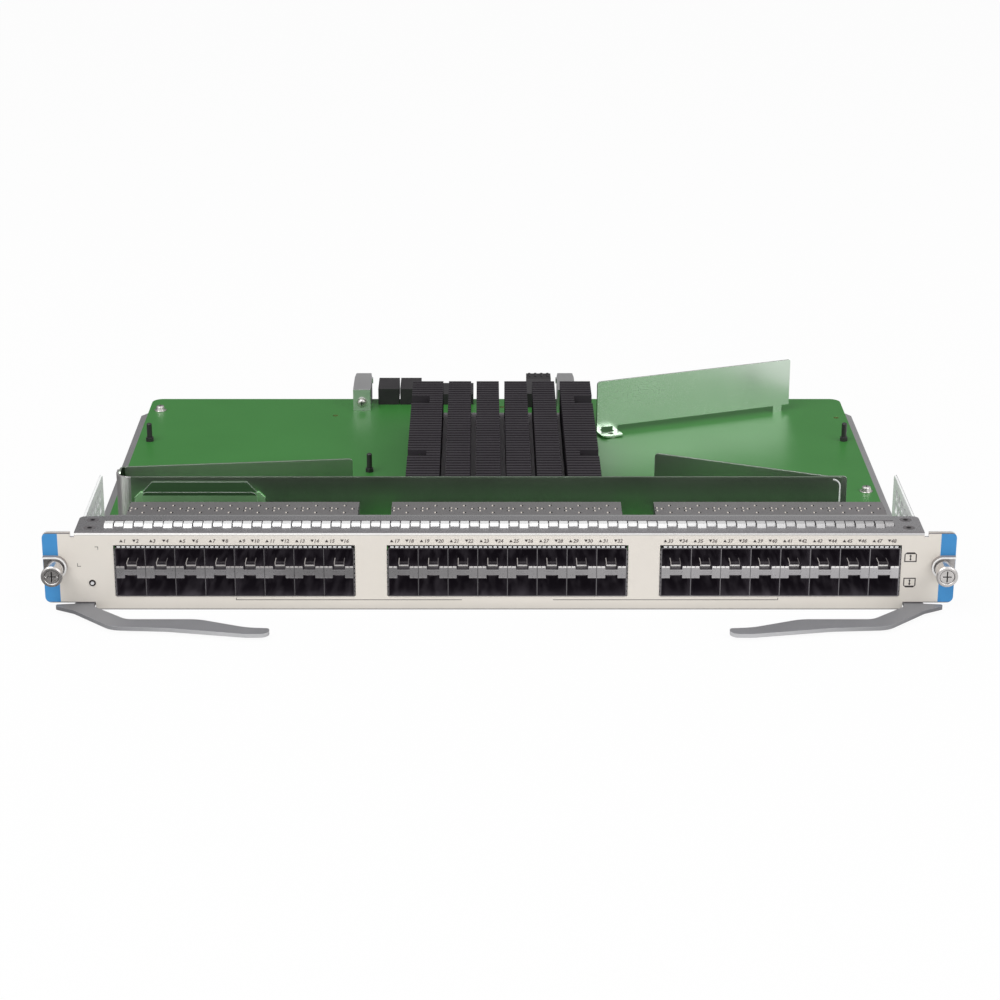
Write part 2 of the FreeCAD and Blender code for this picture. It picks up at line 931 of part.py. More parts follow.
def make_heat_sink():
    """Extruded comb, cross-cut into columns, with four screw pockets in the outer columns."""
    outline = [(sink_front, sink_bottom, 0), (sink_front, sink_top, 0)]
    for row in range(sink_fin_rows):
        fin = sink_front + row * sink_fin_pitch
        if row > 0:
            outline += [(fin, sink_base_top, 0), (fin, sink_top, 0)]
        outline += [(fin + sink_fin_thick, sink_top, 0), (fin + sink_fin_thick, sink_base_top, 0)]
    rear = sink_front + sink_depth
    outline += [(rear, sink_base_top, 0), (rear, sink_bottom, 0)]
    comb = plate_x(outline, sink_left, sink_left + sink_width)
    cuts = []
    columns = column_edges()
    for left_column, right_column in zip(columns, columns[1:]):
        cuts.append(
            box(
                left_column[1],
                right_column[0],
                sink_front - 1,
                rear + 1,
                sink_base_top,
                sink_top + 1,
            )
        )
    for x, y in sink_screw_places():
        rows = pocket_rows(y)
        start = sink_front + rows[0] * sink_fin_pitch
        end = sink_front + rows[-1] * sink_fin_pitch + sink_fin_thick
        half = sink_pocket_width / 2
        cuts.append(box(x - half, x + half, start, end, sink_base_top, sink_top + 1))
        cuts.append(rod(x, y, sink_bottom - 1, sink_screw_radius, sink_base + 2))
    return comb.cut(cuts).removeSplitter()


def make_sink_screws():
    """Sprung screws in the pockets, down into the standoffs."""
    screws = []
    for x, y in sink_screw_places():
        spring = rod(x, y, sink_base_top, sink_screw_spring_radius, sink_screw_spring_height)
        head = rod(x, y, sink_base_top + sink_screw_spring_height, sink_screw_head, sink_screw_head_height)
        shank_end = board_bottom - sink_screw_grip
        shank = rod(x, y, shank_end, sink_screw_radius, sink_base_top - shank_end)
        screws.append(spring.fuse([head, shank]))
    return screws


def chip(x, y, size, lid):
    substrate_top = board_top + chip_height - chip_lid_height
    body = box(x - size / 2, x + size / 2, y - size / 2, y + size / 2, board_top, substrate_top)
    cover = box(x - lid / 2, x + lid / 2, y - lid / 2, y + lid / 2, substrate_top, board_top + chip_height)
    return body.fuse(cover)


def make_chips():
    """Main chip and a row of smaller ones in front of it, all under the heat sink."""
    middle_x = sink_left + sink_width / 2
    middle_y = sink_front + sink_depth / 2
    pieces = [chip(middle_x, middle_y, main_chip_size, main_chip_size - 2 * chip_lid_margin)]
    for i in range(small_chip_count):
        x = middle_x + (i - (small_chip_count - 1) / 2) * small_chip_pitch
        pieces.append(chip(x, middle_y - small_chip_offset, small_chip_size, small_chip_lid))
    return pieces


def bent_foot(x, y_wall, direction):
    """Foot of a sheet that turns along the board, with a screw hole."""
    y0, y1 = sorted((y_wall, y_wall + direction * baffle_foot_depth))
    foot = box(x - baffle_foot_width / 2, x + baffle_foot_width / 2, y0, y1, board_top,
               board_top + baffle_sheet)
    middle = y_wall + direction * baffle_foot_depth / 2
    return foot.cut(rod(x, middle, board_top - 1, pan_shank_radius, baffle_sheet + 2))


def make_front_baffle():
    """Wall behind the cages; its left end turns back in a round bend."""
    front = front_baffle_y
    left = front_baffle_left
    outer = front_baffle_bend + baffle_sheet
    ribbon = plate_z(
        [
            (front_baffle_right, front, 0),
            (front_baffle_right, front + baffle_sheet, 0),
            (left + baffle_sheet, front + baffle_sheet, front_baffle_bend),
            (left + baffle_sheet, front + front_baffle_return, 0),
            (left, front + front_baffle_return, 0),
            (left, front, outer),
        ],
        board_top,
        baffle_top,
    )
    corner = plate_y(
        [
            (left - 1, board_top, 0),
            (front_baffle_right, board_top, 0),
            (front_baffle_right, baffle_top, baffle_corner),
            (left - 1, baffle_top, 0),
        ],
        front - 1,
        front + front_baffle_return + 1,
    )
    feet = [bent_foot(x, front, -1) for x in front_baffle_feet]
    return ribbon.common(corner).fuse(feet).removeSplitter()


def make_baffle_bracket():
    """Stepped plate flat on the front baffle, with a flap on it that leans forward."""
    back = front_baffle_y
    front = back - baffle_sheet
    neck_left = bracket_left + bracket_shoulder
    neck_right = bracket_right - bracket_shoulder
    plate = plate_y(
        [
            (bracket_left, board_top, 0),
            (bracket_right, board_top, 0),
            (bracket_right, bracket_shoulder_top - bracket_chamfer, 0),
            (bracket_right - bracket_chamfer, bracket_shoulder_top, 0),
            (neck_right, bracket_shoulder_top, 0),
            (neck_right - bracket_neck, bracket_top, 0),
            (neck_left + bracket_neck, bracket_top, 0),
            (neck_left, bracket_shoulder_top, 0),
            (bracket_left + bracket_chamfer, bracket_shoulder_top, 0),
            (bracket_left, bracket_shoulder_top - bracket_chamfer, 0),
        ],
        front,
        back,
    )
    foot = front - baffle_sheet
    flap = plate_x(
        [
            (front, board_top, 0),
            (foot, board_top, 0),
            (foot, board_top + hood_foot, 0),
            (foot - hood_lean, hood_top, 0),
            (front - hood_lean, hood_top, 0),
            (front, board_top + hood_foot, 0),
        ],
        bracket_left,
        bracket_right,
    )
    left = bracket_left + hood_inset
    flap_outline = plate_y(
        [
            (left, board_top, 0),
            (left + hood_width, board_top, 0),
            (left + hood_width, hood_top, hood_corner),
            (left, hood_top, hood_corner),
        ],
        front - hood_lean - 2,
        front + 1,
    )
    return plate.fuse(flap.common(flap_outline)).removeSplitter()


def folded_ribbon(a, b, c, top):
    """Upright sheet along a, b and c, folded at b, with rounded top corners at both ends."""
    first = (b - a).normalize()
    second = (c - b).normalize()
    side_first = Vector(-first.y, first.x, 0) * baffle_sheet
    side_second = Vector(-second.y, second.x, 0) * baffle_sheet
    bisector = (side_first + side_second).normalize()
    inner = b + bisector * (baffle_sheet / math.cos(side_first.getAngle(side_second) / 2))
    outline = [a, b, c, c + side_second, inner, a + side_first]
    bend = side_baffle_bend
    turns_left = first.cross(second).z > 0
    at_b = bend + baffle_sheet if turns_left else bend
    at_inner = bend if turns_left else bend + baffle_sheet
    radii = [0, at_b, 0, 0, at_inner, 0]
    ribbon = plate_z([(p.x, p.y, r) for p, r in zip(outline, radii)], board_top, top)
    ends = ((a, first), (c, second * -1))
    for corner, inwards in ends:
        ribbon = ribbon.cut(corner_cutter(corner, inwards, top))
    return ribbon


def corner_cutter(corner, inwards, top):
    """What is cut from an upright sheet to round its top corner."""
    radius = baffle_corner
    block = box(-1, radius, -2 * baffle_sheet, 2 * baffle_sheet, top - radius, top + 1)
    block = block.cut(
        rod(radius, -3 * baffle_sheet, top - radius, radius, 6 * baffle_sheet, Vector(0, 1, 0))
    )
    start = (corner.x, corner.y)
    return placed_along(block, start, (corner.x + inwards.x, corner.y + inwards.y))


def make_left_baffle():
    """Air baffle from the front baffle's left end; its flange lies inside the turned-back end."""
    outside = front_baffle_left + baffle_sheet
    fold_y = front_baffle_y + left_baffle_fold
    return folded_ribbon(
        Vector(*left_baffle_end, 0),
        Vector(outside, fold_y, 0),
        Vector(outside, fold_y - left_baffle_flange, 0),
        baffle_top,
    )


def make_right_baffle():
    """Air baffle from the front baffle's right end; its flange lies on the back of that sheet."""
    back = front_baffle_y + 2 * baffle_sheet
    flange_end = front_baffle_right + right_baffle_overhang
    return folded_ribbon(
        Vector(flange_end, back, 0),
        Vector(flange_end - right_baffle_flange, back, 0),
        Vector(*right_baffle_end, 0),
        baffle_top,
    )


def placed_along(shape, start, end):
    """Turn a piece drawn along +X at the origin so that it runs from start towards end."""
    angle = math.degrees(math.atan2(end[1] - start[1], end[0] - start[0]))
    moved = shape.copy()
    moved.rotate(Vector(0, 0, 0), Vector(0, 0, 1), angle)
    moved.translate(Vector(start[0], start[1], 0))
    return moved


def diagonal_point(along, towards_front):
    """A place given along the diagonal baffle and out from its front face."""
    dx = diagonal_end[0] - diagonal_start[0]
    dy = diagonal_end[1] - diagonal_start[1]
    length = math.hypot(dx, dy)
    return (
        diagonal_start[0] + (dx * along + dy * towards_front) / length,
        diagonal_start[1] + (dy * along - dx * towards_front) / length,
    )


def make_diagonal_baffle():
    """Sheet across the rear of the board, held by a foot at one end and a tab at the other."""
    length = math.hypot(diagonal_end[0] - diagonal_start[0], diagonal_end[1] - diagonal_start[1])
    foot_bottom = board_top + diagonal_spacer
    wall = plate_y(
        [
            (0, foot_bottom, 0),
            (diagonal_foot_width, foot_bottom, 0),
            (diagonal_foot_width + 0.4, diagonal_bottom, 0),
            (length, diagonal_bottom, 0),
            (length, diagonal_top, diagonal_corner),
            (0, diagonal_top, baffle_corner),
        ],
        0,
        baffle_sheet,
    )
    foot = plate_z(
        [
            (0, 0, 0),
            (0, -diagonal_foot_depth, 3.0),
            (diagonal_foot_width, -diagonal_foot_depth, 1.5),
            (diagonal_foot_width, 0, 0),
        ],
        foot_bottom,
        foot_bottom + baffle_sheet,
    )
    window = box(
        diagonal_foot_width / 2 - diagonal_window / 2,
        diagonal_foot_width / 2 + diagonal_window / 2,
        -diagonal_foot_depth * 0.3,
        baffle_sheet + 1,
        foot_bottom - 1,
        foot_bottom + 3.2,
    )
    hole = rod(
        diagonal_foot_width / 2, -diagonal_foot_depth * 0.62, foot_bottom - 1, pan_shank_radius, 4
    )
    tab_left = length - diagonal_tab_inset - diagonal_tab_width
    tab = box(tab_left, tab_left + diagonal_tab_width, 0, baffle_sheet, board_top, diagonal_bottom + 1)
    sheet = wall.fuse([foot, tab]).cut([window, hole]).removeSplitter()
    return placed_along(sheet, diagonal_start, diagonal_end)


def make_guide_block(x):
    """Die-cast guide block: tapered lead, pin bore, and a key on the side towards the middle."""
    half = guide_width / 2
    top = board_top + guide_height
    taper = rear_face - guide_lead_length
    block = plate_z(
        [
            (x - half, guide_front, 0.4),
            (x + half, guide_front, 0.4),
            (x + half, taper, 0),
            (x + half - guide_lead, rear_face, 0.6),
            (x - half + guide_lead, rear_face, 0.6),
            (x - half, taper, 0),
        ],
        board_top,
        top,
    )
    reach = half + guide_key_proud
    inner, outer = (x, x + reach) if x < 0 else (x - reach, x)
    key = box(inner, outer, taper - guide_key_length, taper, top - guide_key_height, top)
    bore = rod(
        x,
        rear_face - guide_pin_depth,
        board_top + guide_height / 2,
        guide_pin_radius,
        guide_pin_depth + 1,
        Vector(0, 1, 0),
    )
    block = block.fuse(key).removeSplitter().cut(bore)
    screw_hole = rod(
        x,
        guide_front - 1,
        board_top + guide_screw_z,
        pan_shank_radius,
        guide_screw_length + 1,
        Vector(0, 1, 0),
    )
    return block.cut(screw_hole)


def guide_screw(x):
    """Screw with its washer in the front face of a guide block."""
    z = board_top + guide_screw_z
    forward = Vector(0, -1, 0)
    washer = rod(x, guide_front, z, guide_screw_washer, pan_washer_sheet, forward)
    head = rod(x, guide_front - pan_washer_sheet, z, guide_screw_head, guide_screw_head_height, forward)
    shank = rod(x, guide_front, z, pan_shank_radius, guide_screw_length, Vector(0, 1, 0))
    return washer.fuse([head, shank])


def make_backplane_connector(left, width, height):
    """Black connector housing over the board's rear edge, slotted at its mating face."""
    right = left + width
    top = board_top + height
    body = box(left, right, connector_front, rear_face, board_top, top)
    slots = []
    count = int((height - 2) / connector_slot_pitch)
    for i in range(count):
        z = board_top + 1.6 + i * connector_slot_pitch
        slots.append(
            box(left + 1, right - 1, rear_face - connector_slot_depth, rear_face + 1, z,
                z + connector_slot_width)
        )
    return body.cut(slots)


def make_power_connector():
    """Taller connector with a sloping front and a scalloped rear top edge."""
    top = board_top + power_height
    right = power_left + power_width
    body = plate_x(
        [
            (power_front, board_top, 0),
            (power_front, board_top + power_front_height, 0),
            (power_front + power_slope_depth, top, 0),
            (power_rear, top, 0),
            (power_rear, board_top, 0),
        ],
        power_left,
        right,
    )
    pitch = power_width / power_bumps
    radius = pitch * 0.36
    bumps = []
    slots = []
    for i in range(power_bumps):
        x = power_left + (i + 0.5) * pitch
        z = top + power_bump_rise - radius
        start = power_rear - power_bump_length
        bumps.append(rod(x, start, z, radius, power_bump_length, Vector(0, 1, 0)))
        slots.append(
            box(x - pitch / 4, x + pitch / 4, power_rear - 8, power_rear + 1, board_top + 2, top - 3)
        )
    return body.fuse(bumps).cut(slots).removeSplitter()


def make_posts():
    """Three black rods that stand on splayed feet."""
    posts = []
    for x, y in post_places:
        shaft = rod(x, y, board_top, post_radius, post_height)
        shaft = shaft.makeChamfer(0.5, [shaft.Edges[0]])
        foot = plate_z(hexagon_points(x, y, post_foot_radius), board_top, board_top + post_foot_height)
        posts.append(shaft.fuse(foot).removeSplitter())
    return posts


def make_status_light():
    """Clear light guide: a lens in the faceplate, back and down to the board."""
    length = light_reach + light_proud
    pipe = rod(light_x, -light_proud, light_z, light_radius, length, Vector(0, 1, 0))
    leg = box(
        light_x - light_radius,
        light_x + light_radius,
        light_reach - 2 * light_radius,
        light_reach,
        board_top,
        light_z,
    )
    return pipe.fuse(leg)


def make_left_collar():
    """Horseshoe cup round the captive screw, open towards the faceplate's end."""
    x = -screw_x
    open_end = collar_end_gap - panel_width / 2
    inner = collar_radius - collar_wall
    low = screw_z - collar_radius
    high = screw_z + collar_radius

    def horseshoe(radius, y0, y1):
        start = Vector(open_end, y0, screw_z + radius)
        top = Vector(x, y0, screw_z + radius)
        middle = Vector(x + radius, y0, screw_z)
        bottom = Vector(x, y0, screw_z - radius)
        finish = Vector(open_end, y0, screw_z - radius)
        wire = Part.Wire(
            [
                Part.LineSegment(start, top).toShape(),
                Part.Arc(top, middle, bottom).toShape(),
                Part.LineSegment(bottom, finish).toShape(),
                Part.LineSegment(finish, start).toShape(),
            ]
        )
        return Part.Face(wire).extrude(Vector(0, y1 - y0, 0))

    cup = horseshoe(collar_radius, -collar_height, 0)
    hollow = horseshoe(inner, -collar_height - 1, -collar_floor)
    hole = rod(x, -collar_height, screw_z, ferrule_radius, collar_height + 1, Vector(0, 1, 0))
    return cup.cut([hollow, hole])


def make_left_ferrule():
    """Tube pressed into the faceplate, with a flange behind it."""
    x = -screw_x
    back = Vector(0, 1, 0)
    tube = rod(x, ferrule_front, screw_z, ferrule_radius, ferrule_rear - ferrule_front, back)
    flange = rod(x, panel_sheet, screw_z, ferrule_flange_radius, ferrule_flange, back)
    bore = rod(x, ferrule_front - 1, screw_z, ferrule_bore, ferrule_rear - ferrule_front + 2, back)
    return tube.fuse(flange).cut(bore)


def make_left_screw():
    """Captive screw: knob with a hollow skirt, neck through the ferrule, thread behind it."""
    x = -screw_x
    back = Vector(0, 1, 0)
    face = -knob_length
    skirt_end = -collar_floor - screw_stop_gap - screw_travel
    disc = rod(x, face, screw_z, knob_radius, knob_disc, back)
    disc = disc.makeChamfer(0.35, [edge for edge in disc.Edges if len(edge.Vertexes) == 1])
    skirt = ring(
        x, face + knob_disc, screw_z, knob_skirt_radius, knob_skirt_bore, skirt_end - face - knob_disc, back
    )
    thread_start = ferrule_rear + screw_thread_gap
    neck = rod(x, face + knob_disc, screw_z, screw_neck_radius, thread_start - face - knob_disc, back)
    thread = rod(x, thread_start, screw_z, screw_thread_radius, screw_thread_length, back)
    tip = thread.makeChamfer(0.5, [thread.Edges[0]])
    reach = recess_length / 2
    width = recess_width / 2
    recess = [
        box(x - reach, x + reach, face - 1, face + recess_depth, screw_z - width, screw_z + width),
        box(x - width, x + width, face - 1, face + recess_depth, screw_z - reach, screw_z + reach),
    ]
    return disc.fuse([skirt, neck, tip]).cut(recess).removeSplitter()


def make_left_washer():
    """Thrust washer between the knob and its spring."""
    front = -knob_length + knob_disc + washer_gap
    return ring(-screw_x, front, screw_z, washer_radius, ferrule_bore, washer_thick, Vector(0, 1, 0))


def make_left_spring():
    """The coil spring's outline, as a tube."""
    front = -knob_length + knob_disc + washer_gap + washer_thick
    length = ferrule_front - front
    return ring(
        -screw_x, front, screw_z, spring_radius, spring_radius - spring_wire, length, Vector(0, 1, 0)
    )


def make_left_lever():
    """Ejector lever: pivot lobe, hooked nose outwards, long handle along the faceplate."""
    pivot = lever_pivot_x
    back = lever_pivot_y + lever_lobe
    nose_top = -lever_nose_width * 0.7
    tip_back = lever_tip_width - lever_reach
    outline = [
        (pivot - lever_lobe - 0.2, back, lever_lobe),
        (pivot - lever_lobe - 0.2, -0.4, 0.6),
        (pivot - lever_nose_reach, nose_top, 0.9),
        (pivot - lever_nose_reach, nose_top - lever_nose_width, 1.4),
        (pivot - 4.1, nose_top - lever_nose_width - 5.4, 8.0),
        (pivot + lever_crank_front, -lever_grip_front + 1.7, 12.0),
        (pivot + lever_handle_start, -lever_grip_front, 30.0),
        (pivot + lever_handle_end - lever_tip_length, -lever_reach, 20.0),
        (pivot + lever_handle_end, -lever_reach + 0.2, 4.2),
        (pivot + lever_handle_end - 1.0, tip_back, 1.6),
        (pivot + lever_handle_end - lever_tip_length, tip_back + 0.8, 30.0),
        (pivot + lever_handle_end - lever_taper_length, -lever_grip_back, 22.0),
        (pivot + lever_crank_front + 6.0, -lever_grip_back, 8.0),
        (pivot + lever_lobe, -3.6, 4.0),
        (pivot + lever_lobe, back, lever_lobe - 0.2),
    ]
    lever = plate_z(outline, lever_bottom, lever_bottom + lever_thick)
    hole = rod(lever_pivot_x, lever_pivot_y, 0, pin_radius + pin_clearance, panel_height)
    return lever.cut(hole)


def bracket_bottom():
    return lever_bottom + lever_thick + lever_running_gap


def make_left_lever_bracket():
    """Folded bracket on the back of the faceplate that carries the lever's pin."""
    low = bracket_bottom()
    left = lever_pivot_x - bracket_reach
    right = lever_pivot_x + bracket_inner_reach
    shelf = box(left, right, panel_sheet, bracket_rear, low, low + bracket_plate)
    lip = box(
        left,
        right,
        panel_sheet,
        panel_sheet + bracket_plate,
        end_step_height,
        bracket_lip_top,
    )
    hole = rod(lever_pivot_x, lever_pivot_y, 0, pin_radius, panel_height)
    return shelf.fuse(lip).cut(hole).removeSplitter()


def make_left_pin():
    """Riveted pivot pin with its head under the lever."""
    head_z = lever_bottom - lever_running_gap - pin_head_height
    head = rod(lever_pivot_x, lever_pivot_y, head_z, pin_head_radius, pin_head_height)
    top = bracket_bottom() + bracket_plate
    length = top - head_z - pin_head_height
    shaft = rod(lever_pivot_x, lever_pivot_y, head_z + pin_head_height, pin_radius, length)
    return head.fuse(shaft)


save("faceplate", make_faceplate())
save("top_gasket_strip", make_top_gasket())
save("panel_stiffener", make_stiffener())
save("flange_screws", [flange_screw(x, y) for x, y in flange_screw_places()])

for name, centre in zip(cage_names, cage_centres):
    save("cage_shell_" + name, make_cage_shell(centre))
    save("cage_dividers_" + name, make_dividers(centre))
    save("cage_separators_" + name, make_separators(centre))
    save("cage_connectors_" + name, make_cage_connectors(centre))
    save("cage_gasket_" + name, make_cage_gasket(centre))

save("carrier_tray", make_tray())
save("circuit_board", make_board())
save("board_standoffs", make_standoffs())
save("pan_head_screws", make_pan_screws())

save("heat_sink", make_heat_sink())
save("heat_sink_screws", make_sink_screws())
save("board_chips", make_chips())

save("front_baffle", make_front_baffle())
save("baffle_bracket", make_baffle_bracket())
save("left_baffle", make_left_baffle())
save("right_baffle", make_right_baffle())
save("diagonal_baffle", make_diagonal_baffle())

save("guide_block_left", make_guide_block(guide_left_x))
save("guide_block_right", make_guide_block(guide_right_x))
save("guide_screws", [guide_screw(x) for x in (guide_left_x, guide_right_x)])
connectors = [(left, tall_connector_width, tall_connector_height) for left in tall_connector_left_edges]
connectors.append((low_connector_left, low_connector_width, low_connector_height))
for number, sizes in enumerate(connectors, 1):
    save("backplane_connector_" + str(number), make_backplane_connector(*sizes))
save("power_connector", make_power_connector())
save("board_posts", make_posts())
save("status_light", make_status_light())

handed = {
    "side_ear": make_left_ear(),
    "ear_gasket": make_left_ear_gasket(),
    "screw_collar": make_left_collar(),
    "screw_ferrule": make_left_ferrule(),
    "captive_screw": make_left_screw(),
    "thrust_washer": make_left_washer(),
    "screw_spring": make_left_spring(),
    "ejector_lever": make_left_lever(),
    "lever_bracket": make_left_lever_bracket(),
    "lever_pin": make_left_pin(),
}
for name, shape in handed.items():
    save(name + "_left", shape)
    save(name + "_right", mirrored(shape))
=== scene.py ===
import json
import math

import bmesh
import bpy
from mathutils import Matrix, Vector


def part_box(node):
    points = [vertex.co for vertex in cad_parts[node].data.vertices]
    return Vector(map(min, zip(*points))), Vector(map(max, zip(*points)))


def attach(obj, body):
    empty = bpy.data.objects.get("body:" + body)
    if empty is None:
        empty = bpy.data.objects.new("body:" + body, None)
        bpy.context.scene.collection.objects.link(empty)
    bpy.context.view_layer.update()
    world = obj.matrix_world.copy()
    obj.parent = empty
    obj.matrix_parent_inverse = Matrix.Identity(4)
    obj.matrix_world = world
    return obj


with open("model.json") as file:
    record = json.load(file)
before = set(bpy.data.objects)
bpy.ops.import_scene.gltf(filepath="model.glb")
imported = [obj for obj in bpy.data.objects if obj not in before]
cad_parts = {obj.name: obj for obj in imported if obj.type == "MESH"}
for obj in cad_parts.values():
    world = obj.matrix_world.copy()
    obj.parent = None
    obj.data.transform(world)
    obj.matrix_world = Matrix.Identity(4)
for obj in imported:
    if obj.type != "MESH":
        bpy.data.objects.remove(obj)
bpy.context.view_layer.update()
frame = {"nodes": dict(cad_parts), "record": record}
nodes = frame["nodes"]

# Lengths in this file are millimetres, x from the card's middle, y back from the faceplate's
# front face and z up from the tray's underside.
faceplate_low, faceplate_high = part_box("faceplate")
front_face = faceplate_low.y * 1000
card_half = faceplate_high.x * 1000
card_height = faceplate_high.z * 1000


def at(x, y, z):
    """A point given in the units above, in the frame's metres."""
    return Vector((x, y + front_face, z)) / 1000


def node_box(name):
    """A node's lowest and highest corner in the units above."""
    low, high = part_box(name)
    shift = Vector((0, front_face, 0))
    return low * 1000 - shift, high * 1000 - shift


# Cages: columns of two ports each
cage_sides = ("left", "middle", "right")
cage_boxes = [node_box("cage_shell_" + side) for side in cage_sides]
port_columns = 8
port_pitch = 14.25
cage_top = cage_boxes[0][1].z
column_start = [(low.x + high.x - port_columns * port_pitch) / 2 for low, high in cage_boxes]
port_centres = [
    start + (column + 0.5) * port_pitch
    for start in column_start
    for column in range(port_columns)
]

# Formed spots on a cage's top: right of the column's centre, depth, which side their hole is
cage_spots = (
    (0.1, 57.3, 1),
    (-3.85, 52.9, 1),
    (4.2, 52.9, 1),
    (-6.05, 54.0, -1),
    (-6.05, 50.2, -1),
    (0.15, 47.6, 1),
)

# Separators: bands of height and depth, and distances from a column's centre
rib_bands = ((20.4, 20.7), (18.15, 18.45))
groove_bands = ((19.85, 20.0), (18.95, 19.1), (21.4, 21.5))
separator_middle = 3.0
upper_edge_height = 21.75
upper_edge_bands = ((3.2, 4.8), (5.2, 6.9))
lower_edge_height = 16.8
lower_edge_gap = (4.5, 5.2)
lip_depth = (3.4, 3.8)
upper_lip_half = 2.4
upper_lip_height = (20.95, 21.75)
lower_lip_half = 2.2
lower_lip_height = (15.8, 16.35)
tongue_height = 21.8
tongue_arm = (2.1, 2.48)
tongue_arm_depth = (3.4, 10.5)
tongue_cross_depth = (4.1, 4.6)

# Slanted lines on the separators: where they start, their top, slope and bottom
slanted_rib = (0.95, 20.3, 0.6, 18.2)
slanted_groove = (3.2, 20.05, -0.72, 18.8)
slant_half = 0.14

# Faceplate: half widths of its long bottom edge, its flange and its row of windows
bottom_half = 194.3
flange_half = 203.5
windows_half = 192.5
window_bottom = 6.8
window_top = 33.3
raised_bottom = 4.0
flange_underside = card_height - 2.3

# Faceplate print
print_depth = 0.04
blue_end = 7.4
number_height = 1.8
number_z = 35.5
number_slant = 0.2
stroke_gain = 0.06
font_to_digit = 1.4
triangle_height = 1.4
triangle_width = 1.7
light_low, light_high = node_box("status_light")
light_x = (light_low.x + light_high.x) / 2
light_z = 13.8
light_ring = (1.15, 1.67)
light_lens = 0.9

# Print right of a column's centre, for numbers of one digit and of two
up_triangle = (-4.0, -5.5)
down_triangle = (2.2, 1.8)
odd_number = (-3.1, -4.35)
even_number = (3.05, 2.45)

# Front baffle and the hood bracket on it
baffle_front = 86.0
baffle_top = 36.9
baffle_bend_x = -187.0
hood_slope_z = 28.6

# Heat sink
sink_base_top = node_box("heat_sink")[0].z + 5.0

# Captive screws
knob_x = 212.4
knob_z = 22.6
knob_face = -14.0
drive_radius = 3.2
drive_depth = 1.5
knob_groove = (3.3, 3.72)
collar_face = -2.3
collar_outside = 5.2

# Flange screws: distance from the card's middle, middle of the two rows and half their spacing
flange_screw_x = 196.3
flange_screw_depth = 11.65
flange_screw_row = 5.25
flange_head_radius = 2.7
flange_drive_radius = 1.15

# Pan-head screws on the board, on the front baffle's tabs and in the guide blocks
head_radius = 2.3
head_rise = 0.7
head_slot_half = 0.28
head_slot_reach = 1.35
board_screws = ((-195.6, 280.0), (-196.6, 144.5), (196.6, 144.5), (-61.425, 40.0), (69.325, 40.0))
board_screw_z = 9.5
tab_screws = ((-100.0, 81.5), (140.0, 81.5))
tab_screw_z = 10.5
guide_screws = (-78.2, 40.6)
guide_screw_depth = 278.3
guide_screw_z = 11.8

black = (0.0, 0.0, 0.0, 1.0)
white = (1.0, 1.0, 1.0, 1.0)
world_light = 0.5


def shade(red, green, blue):
    """Linear colour of the display values of a colour."""
    values = []
    for part in (red, green, blue):
        part /= 255
        values.append(part / 12.92 if part < 0.04045 else ((part + 0.055) / 1.055) ** 2.4)
    return (*values, 1.0)


class Signal:
    """A socket whose value varies over the surface; arithmetic on it adds Math nodes."""

    def __init__(self, finish, socket):
        self.finish = finish
        self.socket = socket

    def math(self, operation, first, second):
        return self.finish.node("ShaderNodeMath", {"operation": operation}, {0: first, 1: second})

    def __add__(self, other):
        return self.math("ADD", self, other)

    def __radd__(self, other):
        return self.math("ADD", other, self)

    def __sub__(self, other):
        return self.math("SUBTRACT", self, other)

    def __rsub__(self, other):
        return self.math("SUBTRACT", other, self)

    def __mul__(self, other):
        return self.math("MULTIPLY", self, other)

    def __rmul__(self, other):
        return self.math("MULTIPLY", other, self)

    def __mod__(self, other):
        return self.math("FLOORED_MODULO", self, other)

    def __pow__(self, other):
        return self.math("POWER", self, other)

    def __gt__(self, other):
        return self.math("GREATER_THAN", self, other)

    def __lt__(self, other):
        return self.math("LESS_THAN", self, other)

    def __abs__(self):
        return self.math("ABSOLUTE", self, 0.0)


def within(signal, low, high):
    """1 where the signal is between two values."""
    return (signal > low) * (signal < high)


def in_bands(signal, bands):
    """1 where the signal is in one of some bands that lie apart."""
    return sum(within(signal, low, high) for low, high in bands)


